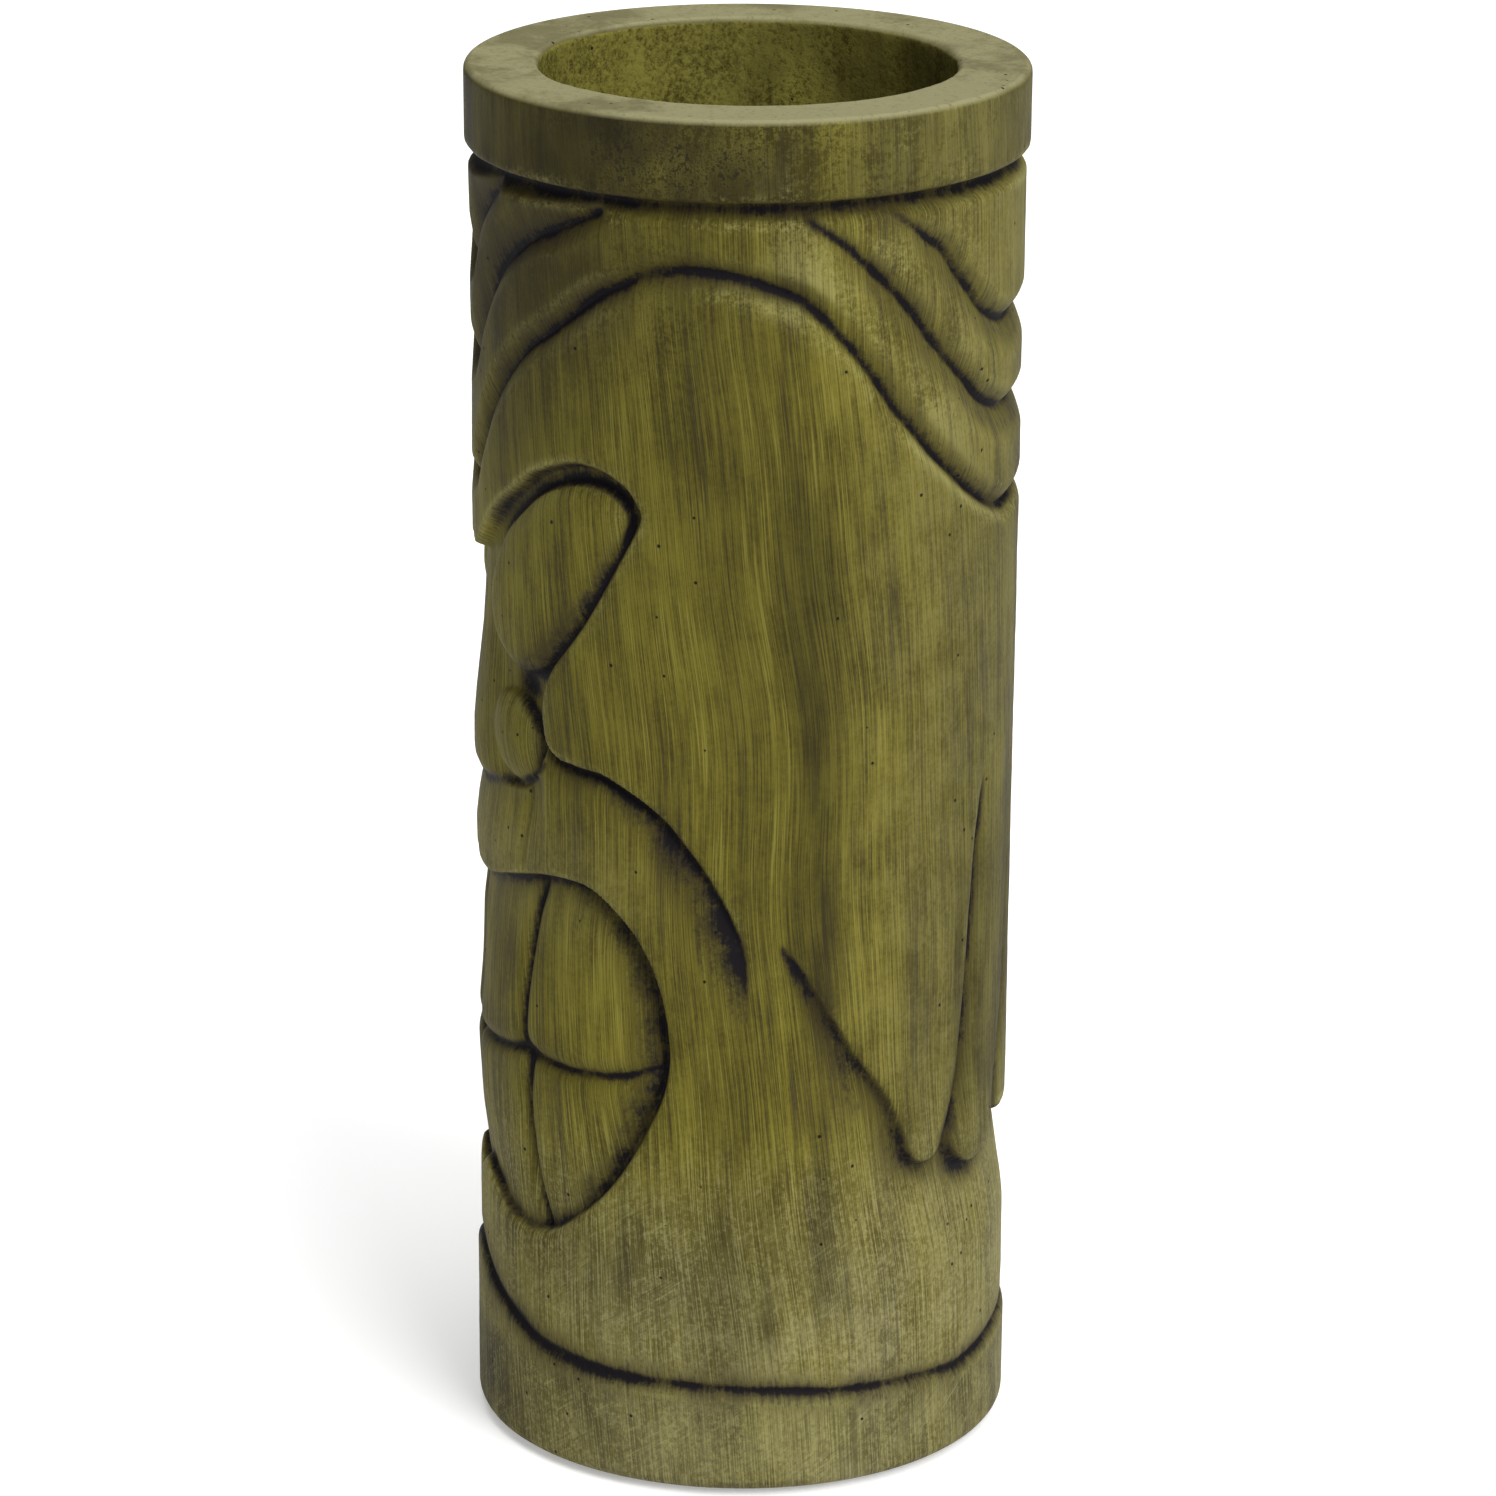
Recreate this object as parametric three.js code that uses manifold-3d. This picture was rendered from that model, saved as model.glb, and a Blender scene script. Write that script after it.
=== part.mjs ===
// A tall tiki planter or umbrella stand cast in one piece: a thick-walled open cylinder whose
// outside carries a carved face (toothed mouth, broad nose, slanted eyes), swags of hair and long
// locks behind. A rubber bung closes the drain hole in its floor and four felt pads keep it off
// the ground. Millimetres, +Z up, origin on the ground under the axis, face towards -Y.
import * as THREE from 'three';
import Module from 'manifold-3d';
import { mergeVertices } from 'three/addons/utils/BufferGeometryUtils.js';

const wasm = await Module();
wasm.setup();

// ---- Driving dimensions -------------------------------------------------------------------
const HEIGHT = 560;            // ground to rim, pads included
const RIM_RADIUS = 110.3;      // outside, at the rim
const BASE_RADIUS = 107.8;     // outside, at the ground: the casting tapers a little
const WALL = 29;               // at the rim
const BORE_DRAFT = 5;          // the bore is this much narrower at its floor, in radius
const FLOOR_TOP = 34;          // height of the inner floor
const BORE_COVE = 9;           // fillet between floor and bore
const SEGMENTS = 48;           // facets around the casting
const GLUE_LINE = 0.3;         // clearance between pieces that touch

const PAD = { thickness: 2, radius: 12, circle: 84, count: 4 };
const RIM_BAND = { bottom: 528, groove: 7, shoulder: 518 };   // plain band, with a groove under it
const BASE_BAND = 40;          // the plain band round the foot ends here
const CARVED = 1.5;            // the carved surface lies this far inside the two plain bands
const BROKEN_EDGE = 2;         // worn corners of the rim
const FOOT_ROUND = 5;          // rounding of the foot's outer corner

const DRAIN = { top: 13, bottom: 11.5 };                      // radii of the tapered drain hole
const BUNG = { gap: 0.4, head: 18, headThickness: 4, stem: 26, grip: 9, gripHeight: 16 };

const FOOT = PAD.thickness + GLUE_LINE;
const BORE_RADIUS = RIM_RADIUS - WALL;

// ---- Places on the casting ----------------------------------------------------------------
// A place is [angle, height]: degrees round from the middle of the face, and millimetres up.
const outside = (z) => THREE.MathUtils.lerp(BASE_RADIUS, RIM_RADIUS, z / HEIGHT);

function spot(angle, z, depth) {
  const a = THREE.MathUtils.degToRad(angle);
  const r = outside(z) - depth;
  return new THREE.Vector3(r * Math.sin(a), -r * Math.cos(a), z);
}

// Height at an angle of an outline of places; the two sides of the head are alike.
function heightOn(outline, angle) {
  const a = Math.abs(angle > 180 ? angle - 360 : angle);
  const next = outline.findIndex(([at]) => at >= a);
  if (next <= 0) return outline.at(next)[1];
  const [a0, z0] = outline[next - 1];
  const [a1, z1] = outline[next];
  return THREE.MathUtils.mapLinear(a, a0, a1, z0, z1);
}

// ---- Solids -------------------------------------------------------------------------------
function toSolid(geometry) {
  const bare = geometry.clone();
  bare.deleteAttribute('normal');
  bare.deleteAttribute('uv');
  const merged = mergeVertices(bare, 1e-3);
  return new wasm.Manifold(new wasm.Mesh({
    numProp: 3,
    vertProperties: new Float32Array(merged.attributes.position.array),
    triVerts: new Uint32Array(merged.index.array),
  }));
}

function toGeometry(solid) {
  const mesh = solid.getMesh();
  const geometry = new THREE.BufferGeometry();
  geometry.setAttribute('position', new THREE.BufferAttribute(mesh.vertProperties, 3));
  geometry.setIndex(new THREE.BufferAttribute(mesh.triVerts, 1));
  geometry.computeVertexNormals();
  return geometry;
}

// A profile of [radius, height] points turned about Z, listed upwards on its outside.
function turned(profile, segments) {
  const points = profile.map(([r, z]) => new THREE.Vector2(r, z));
  return new THREE.LatheGeometry(points, segments).rotateX(Math.PI / 2);
}

// A groove cut by a round gouge. Its path is [angle, height, depth of the gouge's centre] points:
// a negative depth lifts the gouge out of the surface, so that the groove runs out to nothing.
function gouge(path, radius, steps = Math.ceil(path.length * 1.3)) {
  const curve = new THREE.CatmullRomCurve3(path.map((p) => spot(...p)), false, 'centripetal');
  const section = new THREE.Shape().absarc(0, 0, radius, 0, 2 * Math.PI);
  return toSolid(new THREE.ExtrudeGeometry(section, {
    steps,
    curveSegments: 3,
    extrudePath: curve,
  }));
}

// A hollow with a shaped floor: from low(angle) to high(angle) in height, with its floor
// depth(angle, height) inside the outside. It is a closed grid of two skins and four walls.
function hollow({ from, to, columns, rows, low, high, depth, clear = 6 }) {
  const positions = [];
  const index = [];
  const id = (skin, i, j) => (skin * (columns + 1) + i) * (rows + 1) + j;
  for (const skin of [0, 1]) {
    for (let i = 0; i <= columns; i++) {
      const angle = THREE.MathUtils.lerp(from, to, i / columns);
      for (let j = 0; j <= rows; j++) {
        const z = THREE.MathUtils.lerp(low(angle), high(angle), j / rows);
        positions.push(...spot(angle, z, skin === 0 ? -clear : depth(angle, z)));
      }
    }
  }
  const quad = (a, b, c, d) => index.push(a, b, c, a, c, d);
  for (let i = 0; i < columns; i++) {
    for (let j = 0; j < rows; j++) {
      quad(id(0, i, j), id(0, i + 1, j), id(0, i + 1, j + 1), id(0, i, j + 1));
      quad(id(1, i, j), id(1, i, j + 1), id(1, i + 1, j + 1), id(1, i + 1, j));
    }
    quad(id(0, i, 0), id(1, i, 0), id(1, i + 1, 0), id(0, i + 1, 0));
    quad(id(0, i, rows), id(0, i + 1, rows), id(1, i + 1, rows), id(1, i, rows));
  }
  for (let j = 0; j < rows; j++) {
    quad(id(0, 0, j), id(0, 0, j + 1), id(1, 0, j + 1), id(1, 0, j));
    quad(id(0, columns, j), id(1, columns, j), id(1, columns, j + 1), id(0, columns, j + 1));
  }
  const geometry = new THREE.BufferGeometry();
  geometry.setAttribute('position', new THREE.Float32BufferAttribute(positions, 3));
  geometry.setIndex(index);
  return toSolid(geometry);
}

// A rounded lump on the surface: an ellipsoid of half sizes [across, up, out], leaning by tilt.
function lump([angle, z, depth], [across, up, out], tilt) {
  const shape = new THREE.SphereGeometry(1, 16, 8).scale(across, up, out);
  const turn = (axis, degrees) => new THREE.Matrix4()
    .makeRotationAxis(axis, THREE.MathUtils.degToRad(degrees));
  const frame = turn(new THREE.Vector3(0, 0, 1), angle)
    .multiply(turn(new THREE.Vector3(1, 0, 0), 90))
    .multiply(turn(new THREE.Vector3(0, 0, 1), tilt));
  frame.setPosition(spot(angle, z, depth));
  return toSolid(shape.applyMatrix4(frame));
}

// ---- The casting --------------------------------------------------------------------------
function blank() {
  const trunk = (z) => outside(z) - CARVED;
  return toSolid(turned([
    [DRAIN.bottom, FOOT],
    [outside(FOOT) - FOOT_ROUND, FOOT],
    [outside(FOOT) - FOOT_ROUND / 4, FOOT + FOOT_ROUND / 4],
    [outside(FOOT), FOOT + FOOT_ROUND],
    [outside(BASE_BAND), BASE_BAND],
    [trunk(BASE_BAND), BASE_BAND + BROKEN_EDGE],
    [trunk(RIM_BAND.shoulder), RIM_BAND.shoulder],
    [outside(RIM_BAND.bottom) - RIM_BAND.groove, RIM_BAND.bottom - 2 * BROKEN_EDGE],
    [outside(RIM_BAND.bottom) - RIM_BAND.groove, RIM_BAND.bottom - BROKEN_EDGE],
    [outside(RIM_BAND.bottom) - BROKEN_EDGE, RIM_BAND.bottom],
    [outside(RIM_BAND.bottom), RIM_BAND.bottom + BROKEN_EDGE],
    [RIM_RADIUS, HEIGHT - BROKEN_EDGE],
    [RIM_RADIUS - BROKEN_EDGE, HEIGHT],
    [BORE_RADIUS + BROKEN_EDGE, HEIGHT],
    [BORE_RADIUS, HEIGHT - BROKEN_EDGE],
    [BORE_RADIUS - BORE_DRAFT, FLOOR_TOP + BORE_COVE],
    [BORE_RADIUS - BORE_DRAFT - BORE_COVE, FLOOR_TOP],
    [DRAIN.top, FLOOR_TOP],
    [DRAIN.bottom, FOOT],
  ], SEGMENTS));
}

// Outlines of the carving, from the middle of the face (0) towards the back (180).
const BROW = [
  [0, 364], [12, 366], [18, 372], [25, 385], [31, 398], [37, 408],
  [43, 414], [50, 418], [58, 416], [62, 411], [64, 404],
];
const CHEEK = [
  [0, 272], [17, 274], [24, 282], [35, 286], [37, 330], [43, 338],
  [50, 352], [56, 370], [61, 387], [64, 402],
];
const MOUTH_TOP = [
  [0, 235], [15, 238], [28, 246], [38, 251], [46, 252], [55, 246],
  [61, 236], [66, 220], [68, 205], [70, 184],
];
const MOUTH_BOTTOM = [
  [0, 113], [15, 103], [28, 98], [38, 99], [46, 105], [55, 118],
  [62, 138], [67, 156], [70, 176],
];
const TEETH_MEET = [[0, 171], [25, 173], [40, 178], [70, 180]];
const LOCK_ENDS = [
  [97, 228], [105, 197], [112, 170], [119, 148], [125, 133], [130, 133],
  [135, 146], [140, 127], [146, 124], [152, 130], [156, 140], [162, 134], [180, 134],
];
const BASE_LINE = [
  [-4, 76], [10, 75], [20, 67], [30, 58], [40, 51], [55, 48], [75, 47],
  [95, 46], [115, 43], [135, 40], [155, 46], [184, 46],
];
const NOSE = { root: 362, rootHalf: 9, tip: 276, tipHalf: 17 };    // heights and half widths
const EYE = { place: [38, 376, 12], size: [20, 44, 11], tilt: -32 };
const NOSTRIL = { place: [27, 302, 11], size: [17, 18, 9], tilt: 0 };

// Radii of the round gouges that cut the grooves.
const GOUGE = {
  swag: 5, cheek: 5, lip: 2.5, nose: 3, base: 4.5, lock: 4.5, backLock: 4, teeth: 2.8, rows: 3,
};
const OUT = -6;                // depth at which a gouge has left the surface

// The hollows of both eyes, with the nose standing between them from its root to its tip.
function eyeHollow() {
  const FLOOR = 8;
  const down = (z, from, to) => THREE.MathUtils.mapLinear(z, NOSE.root, NOSE.tip, from, to);
  const noseHalf = (z) => down(z, NOSE.rootHalf, NOSE.tipHalf);
  const noseDepth = (z) => down(z, FLOOR, CARVED);
  return hollow({
    from: -63,
    to: 63,
    columns: 28,
    rows: 5,
    low: (a) => heightOn(CHEEK, a),
    high: (a) => heightOn(BROW, a),
    depth: (a, z) => (Math.abs(a) < noseHalf(z) ? noseDepth(z) : FLOOR),
  });
}

// The upper lip tucks in under the nose.
function lipHollow() {
  const LIP = { edge: 247, top: 284, half: 36, tuck: 6 };
  return hollow({
    from: -LIP.half,
    to: LIP.half,
    columns: 12,
    rows: 1,
    low: () => LIP.edge,
    high: (a) => Math.min(heightOn(CHEEK, a) + 1, LIP.top),
    depth: (a, z) => THREE.MathUtils.mapLinear(z, LIP.edge, LIP.top, CARVED, LIP.tuck),
  });
}

// The mouth's floor is its two rows of teeth, which bulge out where the rows meet.
function mouthHollow() {
  const CORNER = 70;           // degrees
  const BULGE = 2;             // depth where the rows meet
  const RISE = 6;              // from there to the edges of the lips
  const TUCK = 4;              // further in at the corners
  const depth = (a, z) => {
    const meet = heightOn(TEETH_MEET, a);
    const edge = heightOn(z > meet ? MOUTH_TOP : MOUTH_BOTTOM, a);
    const away = THREE.MathUtils.clamp((z - meet) / (edge - meet), 0, 1);
    return BULGE + RISE * away ** 1.5 + TUCK * (Math.abs(a) / CORNER) ** 6;
  };
  return hollow({
    from: -CORNER,
    to: CORNER,
    columns: 24,
    rows: 6,
    low: (a) => heightOn(MOUTH_BOTTOM, a),
    high: (a) => heightOn(MOUTH_TOP, a),
    depth,
  });
}

// The neck is cut in under the ends of the locks, and swells out again down to the base.
function neckHollow() {
  const NECK_DEPTH = 7;
  const FADE = 34;             // height over which the neck swells out again
  const FRONT = 97;            // degrees: the locks start here
  const end = (a) => heightOn(LOCK_ENDS, a);
  return hollow({
    from: FRONT,
    to: 360 - FRONT,
    columns: 28,
    rows: 3,
    low: () => BASE_BAND + 10,
    high: end,
    depth: (a, z) => CARVED - 0.4 + NECK_DEPTH * Math.exp((z - end(a)) / FADE),
  });
}

// Grooves of one side of the head; side is 1 or -1.
function swags(side) {
  return [
    [[-3, 396], [5, 399], [15, 418], [25, 440], [35, 460], [47, 478], [60, 494], [75, 501],
      [90, 497], [100, 483], [110, 462], [120, 437], [130, 417], [145, 396], [160, 391], [183, 391]],
    [[-3, 442], [5, 444], [13, 455], [25, 486], [38, 507], [50, 518]],
    [[-3, 480], [5, 482], [13, 495], [22, 518]],
    [[98, 518], [109, 503], [121, 480], [135, 450], [145, 436], [158, 431], [183, 430]],
    [[118, 518], [127, 505], [135, 487], [145, 470], [158, 464], [183, 463]],
  ].map((path) => gouge(path.map(([a, z]) => [side * a, z, 1]), GOUGE.swag));
}

function faceGrooves(side) {
  const cheek = [
    [62, 404, 1], [57, 378, 1], [50, 354, 1], [41, 337, 1], [37, 318, 1], [40, 302, 1],
    [52, 298, 1], [63, 288, 1], [73, 270, 1], [80, 253, 1], [84, 236, 0], [86, 215, OUT],
  ];
  const mirror = (path) => path.map(([a, z, depth]) => [side * a, z, depth]);
  return [
    gouge(mirror(cheek), GOUGE.cheek),
    gouge(mirror([[32, 232, 0], [32, 258, 0], [33, 284, 0]]), GOUGE.lip),
    gouge(mirror([[10, 360, 8], [14, 335, 8], [17, 305, 8], [19, 278, 8]]), GOUGE.nose),
    gouge(BASE_LINE.map(([a, z]) => [side * a, z, 0.5]), GOUGE.base),
  ];
}

function lockGrooves(side) {
  const mirror = (path) => path.map(([a, z, depth]) => [side * a, z, depth]);
  return [
    gouge(mirror([
      [92, 236, OUT], [97, 220, 0], [107, 190, 1], [117, 160, 1], [124, 136, 1], [128, 131, 1],
      [133, 138, 1], [136, 165, 1], [138, 205, 1], [141, 250, 0], [145, 290, OUT],
    ]), GOUGE.lock),
    gouge(mirror([[154, 130, 1], [156, 180, 1], [158, 230, 0], [160, 285, OUT]]), GOUGE.backLock),
  ];
}

// Gaps between the teeth of one side, and between the two rows.
function toothGaps(side) {
  const mirror = (path) => path.map(([a, z, depth]) => [side * a, z, depth]);
  const rows = [[-3, 171, 2.5], [20, 172, 2.5], [40, 178, 3], [58, 180, 4], [72, 180, 8]];
  return [
    gouge(mirror(rows), GOUGE.rows),
    gouge(mirror([[38, 252, 9], [35, 215, 6], [33, 174, 2.5]]), GOUGE.teeth),
    gouge(mirror([[33, 178, 2.5], [34, 140, 5], [40, 99, 9]]), GOUGE.teeth),
  ];
}

function castBody() {
  let body = [eyeHollow(), lipHollow(), mouthHollow(), neckHollow()]
    .reduce((solid, cut) => solid.subtract(cut), blank());
  for (const side of [1, -1]) {
    for (const { place: [a, z, depth], size, tilt } of [EYE, NOSTRIL]) {
      body = body.add(lump([side * a, z, depth], size, side * tilt));
    }
  }
  for (const side of [1, -1]) {
    const cuts = [...swags(side), ...faceGrooves(side), ...lockGrooves(side), ...toothGaps(side)];
    body = cuts.reduce((solid, cut) => solid.subtract(cut), body);
  }
  const middle = [[0, 236, 9], [0, 205, 6], [0, 171, 2.5], [0, 140, 5], [0, 111, 8]];
  return toGeometry(body.subtract(gouge(middle, GOUGE.teeth)));
}

// ---- Loose parts --------------------------------------------------------------------------
// Tapered rubber stopper let down into the drain hole, with a waisted grip to pull it by.
function drainBung() {
  const { gap, head, headThickness, stem, grip, gripHeight } = BUNG;
  const CHAMFER = 1.5;
  const WAIST = grip - 3;
  const top = headThickness + gripHeight;
  const neck = DRAIN.top - gap;
  const tip = neck - (DRAIN.top - DRAIN.bottom) * stem / (FLOOR_TOP - FOOT);
  return turned([
    [0, -stem],
    [tip - CHAMFER, -stem],
    [tip, CHAMFER - stem],
    [neck, 0],
    [head, 0],
    [head, headThickness - CHAMFER],
    [head - CHAMFER, headThickness],
    [WAIST, headThickness],
    [WAIST, headThickness + gripHeight / 2],
    [grip, top - 3 * CHAMFER],
    [grip, top - CHAMFER],
    [grip - CHAMFER, top],
    [0, top],
  ], 32);
}

function footPad() {
  const { thickness, radius } = PAD;
  return turned([
    [0, 0],
    [radius - 0.5, 0],
    [radius, 0.5],
    [radius, thickness],
    [0, thickness],
  ], 32);
}

// ---- Materials ----------------------------------------------------------------------------
const paint = new THREE.MeshStandardMaterial({ color: 0x77722c, roughness: 0.8, metalness: 0 });
const rubber = new THREE.MeshStandardMaterial({ color: 0x151515, roughness: 0.85, metalness: 0 });
const felt = new THREE.MeshStandardMaterial({ color: 0x2b2723, roughness: 0.95, metalness: 0 });

// ---- Assembly -----------------------------------------------------------------------------
const stand = new THREE.Group();

function place(name, geometry, material, x, y, z) {
  const mesh = new THREE.Mesh(geometry, material);
  mesh.name = name;
  mesh.position.set(x, y, z);
  stand.add(mesh);
}

place('cast_body', castBody(), paint, 0, 0, 0);
place('drain_bung', drainBung(), rubber, 0, 0, FLOOR_TOP + GLUE_LINE);
for (let i = 0; i < PAD.count; i++) {
  const a = (i + 0.5) * 2 * Math.PI / PAD.count;
  place(`foot_pad_${i + 1}`, footPad(), felt, PAD.circle * Math.cos(a), PAD.circle * Math.sin(a), 0);
}

export default stand;
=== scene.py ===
import math

import bpy
import numpy as np
from mathutils import Matrix, Vector


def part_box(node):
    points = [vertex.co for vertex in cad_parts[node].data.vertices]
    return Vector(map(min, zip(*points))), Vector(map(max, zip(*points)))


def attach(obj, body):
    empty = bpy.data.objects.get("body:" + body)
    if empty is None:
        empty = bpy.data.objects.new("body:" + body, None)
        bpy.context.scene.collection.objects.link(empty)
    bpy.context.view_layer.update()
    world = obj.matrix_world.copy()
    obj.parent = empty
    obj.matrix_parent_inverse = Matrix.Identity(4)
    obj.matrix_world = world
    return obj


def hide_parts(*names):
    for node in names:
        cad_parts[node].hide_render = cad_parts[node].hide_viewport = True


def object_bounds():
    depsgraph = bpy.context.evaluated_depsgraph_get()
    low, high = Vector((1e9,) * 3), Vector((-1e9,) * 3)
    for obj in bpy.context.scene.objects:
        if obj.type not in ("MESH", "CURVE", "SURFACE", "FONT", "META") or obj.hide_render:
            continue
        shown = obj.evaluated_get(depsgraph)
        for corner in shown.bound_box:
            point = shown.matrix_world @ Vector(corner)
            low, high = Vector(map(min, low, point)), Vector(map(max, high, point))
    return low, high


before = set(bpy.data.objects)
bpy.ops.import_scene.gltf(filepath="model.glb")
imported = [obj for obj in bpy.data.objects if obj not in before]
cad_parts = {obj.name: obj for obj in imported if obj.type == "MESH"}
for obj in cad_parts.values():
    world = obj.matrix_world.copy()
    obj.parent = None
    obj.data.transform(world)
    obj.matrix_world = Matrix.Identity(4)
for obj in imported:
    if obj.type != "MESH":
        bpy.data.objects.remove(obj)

CAD_LOW, CAD_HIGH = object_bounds()
MM = 0.001

# ---- Sizes, in millimetres ----
HEIGHT = CAD_HIGH.z / MM
RIM_RADIUS = CAD_HIGH.x / MM
BASE_RADIUS = 107.8
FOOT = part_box("cast_body")[0].z / MM
FOOT_ROUND = 5.0
RIM_ROUND = 3.4
BORE_RADIUS = 81.3
BORE_FLOOR_RADIUS = 76.3
BORE_COVE = 9.0
FLOOR_TOP = 34.0
DRAIN_TOP = 13.0
DRAIN_BOTTOM = 11.5

COLUMNS = 640                 # around the casting
ROW_STEP = 1.1                # between rows of the carved wall
CARVED = 1.5                  # the carved surface lies this far inside the plain bands
RIM_BAND_BOTTOM = 528.0

CARVING_RADIUS = 109.0        # where the outlines' degrees are turned into millimetres
MM_PER_DEGREE = math.radians(CARVING_RADIUS)


def outside(z):
    """Radius of the uncarved casting at a height."""
    return BASE_RADIUS + (RIM_RADIUS - BASE_RADIUS) * z / HEIGHT


# ---- Curves on the wall ----
def spline(points, closed=False, steps=8):
    """Catmull-Rom curve through [bearing, height] points, as x, z in millimetres on the wall."""
    p = np.array(points, float) * (MM_PER_DEGREE, 1.0)
    if closed:
        p = np.vstack((p[-1], p, p[:2]))
    else:
        p = np.vstack((2 * p[0] - p[1], p, 2 * p[-1] - p[-2]))
    t = np.linspace(0, 1, steps, endpoint=False)[:, None]
    out = []
    for a, b, c, d in zip(p[:-3], p[1:-2], p[2:-1], p[3:]):
        out.append(0.5 * (2 * b + (c - a) * t + (2 * a - 5 * b + 4 * c - d) * t ** 2
                          + (3 * b - a - 3 * c + d) * t ** 3))
    return np.vstack(out + [p[-2][None]])


class Wall:
    """Half the carved wall laid flat: x from the middle of the face to the middle of the back.

    It holds three maps: depth below the uncarved casting in millimetres; the share of dark glaze
    left in the hollows, with painted shade and shadow added; and the share of paint rubbed off the
    edges, with a painted highlight added on crests.
    """

    def __init__(self, heights, columns):
        self.z = heights
        self.x = np.linspace(0, 180, columns) * MM_PER_DEGREE
        self.shape = (len(self.z), len(self.x))
        self.X, self.Z = np.meshgrid(self.x, self.z)
        self.bearing = self.X / MM_PER_DEGREE
        self.depth = np.full(self.shape, CARVED)
        self.wash_and_shade = np.zeros(self.shape)
        self.worn_and_highlight = np.zeros(self.shape)

    def window(self, low, high):
        rows = slice(*np.searchsorted(self.z, (low[1], high[1])))
        return rows, slice(*np.searchsorted(self.x, (low[0], high[0])))

    def measure(self, points, closed=False, reach=32.0):
        """Distance to a curve, the side of it (left is positive) and the share of it passed."""
        path = spline(points, closed)
        distance = np.full(self.shape, 999.0)
        side = np.ones(self.shape)
        share = np.zeros(self.shape)
        lengths = np.hypot(*np.diff(path, axis=0).T)
        passed = np.concatenate(([0], np.cumsum(lengths)))
        for (ax, az), (bx, bz), length, before in zip(path, path[1:], lengths, passed):
            if length == 0:
                continue
            at = self.window((min(ax, bx) - reach, min(az, bz) - reach),
                             (max(ax, bx) + reach, max(az, bz) + reach))
            px = self.X[at] - ax
            pz = self.Z[at] - az
            ux = (bx - ax) / length
            uz = (bz - az) / length
            along = np.clip(px * ux + pz * uz, 0, length)
            d = np.hypot(px - along * ux, pz - along * uz)
            nearer = d < distance[at] - 1e-9
            distance[at] = np.where(nearer, d, distance[at])
            side[at] = np.where(nearer, np.sign(ux * pz - uz * px), side[at])
            share[at] = np.where(nearer, (before + along) / passed[-1], share[at])
        return distance, side, share

    def over(self, points, reach=32.0):
        """Distance to a curve that runs on round the wall, positive above it."""
        path = spline(points)
        above = self.Z > np.interp(self.x, path[:, 0], path[:, 1])
        distance = self.measure(points, reach=reach)[0]
        return np.where(above, distance, -distance)

    def within(self, points, reach=32.0):
        """Distance to a closed outline, positive inside it."""
        path = spline(points, True)
        inside = np.zeros(self.shape, bool)
        for (ax, az), (bx, bz) in zip(path, path[1:]):
            if az == bz:
                continue
            crosses = (self.Z > min(az, bz)) & (self.Z <= max(az, bz))
            x = ax + (self.Z - az) * (bx - ax) / (bz - az)
            inside ^= crosses & (self.X < x)
        distance = self.measure(points, True, reach)[0]
        return np.where(inside, distance, -distance)

    def press(self, depth, share):
        """Move the surface this share of the way to a depth."""
        self.depth += (depth - self.depth) * share

    def deepen(self, depth):
        self.depth = np.maximum(self.depth, depth)

    def darken(self, amount):
        self.wash_and_shade = np.maximum(self.wash_and_shade, amount)

    def lighten(self, amount):
        self.worn_and_highlight = np.maximum(self.worn_and_highlight, amount)


def fade(x, start, end):
    """Smooth step from 0 at start to 1 at end, whichever of them is larger."""
    t = np.clip((x - start) / (end - start), 0, 1)
    return t * t * (3 - 2 * t)


def hill(d, width):
    return np.exp(-(d / width) ** 2)


def drop(d, width):
    """A rounded edge: 1 at the edge, 0 from this width inwards."""
    return 1 - np.sqrt(1 - (1 - np.clip(d / width, 0, 1)) ** 2)


def flank(d, width):
    """A soft hollow side: 1 at the bottom, 0 from this width on."""
    return (1 - np.clip(d / width, 0, 1)) ** 2


def least(a, b, blend):
    """Smooth minimum."""
    h = np.clip(0.5 + 0.5 * (b - a) / blend, 0, 1)
    return b + (a - b) * h - blend * h * (1 - h)


def chain(x, *points):
    """Height at x of straight lines through [x, height] points."""
    xs, ys = zip(*points)
    return np.interp(x, xs, ys)


# ---- Outlines of the carving ----
# Lines that cross the middle of the face or back run a few degrees past it.
ARCH = [
    (-4, 396), (4, 397), (10, 412), (19, 436), (31, 458), (39, 468), (45, 476), (53, 487),
    (59, 493), (64, 498), (72, 501), (80, 500), (85, 498), (90, 495), (96, 490), (101, 482),
    (106, 472), (111, 461), (117, 445), (122, 435), (127, 425), (133, 415), (139, 406),
    (145, 399), (151, 394), (158, 391), (170, 393), (184, 394),
]
FRONT_SWAG = [
    (-4, 443), (4, 444), (12, 466), (19, 483), (26, 495), (35, 505), (43, 511), (53, 520),
]
FRONT_CROWN = [(-4, 481), (3, 483), (10, 503), (17, 515), (21, 521)]
BACK_SWAG = [
    (97, 521), (104, 512), (110, 502), (117, 490), (123, 478), (127, 469), (133, 458),
    (139, 448), (144, 440), (151, 434), (158, 431), (168, 432), (184, 433),
]
BACK_CROWN = [
    (116, 521), (120, 516), (125, 509), (130, 503), (134, 494), (139, 485), (144, 476),
    (151, 469), (158, 466), (168, 467), (184, 468),
]
# Brow, outer corner of the eye, edge of the cheek, and back under the nose.
SOCKET = [
    (-6, 369), (4, 369), (8, 372), (12, 379), (16, 386), (22, 395), (29, 404), (36, 413), (44, 419),
    (49, 420.5), (54.5, 419), (59.5, 414), (62, 408), (63, 403), (61.5, 396), (57.7, 383),
    (53.4, 369), (49.4, 357), (44.3, 345), (40.4, 336), (38, 327), (37, 317), (37.3, 308),
    (37, 298), (34, 288), (28, 281), (18, 279), (6, 276), (-6, 276),
]
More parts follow.
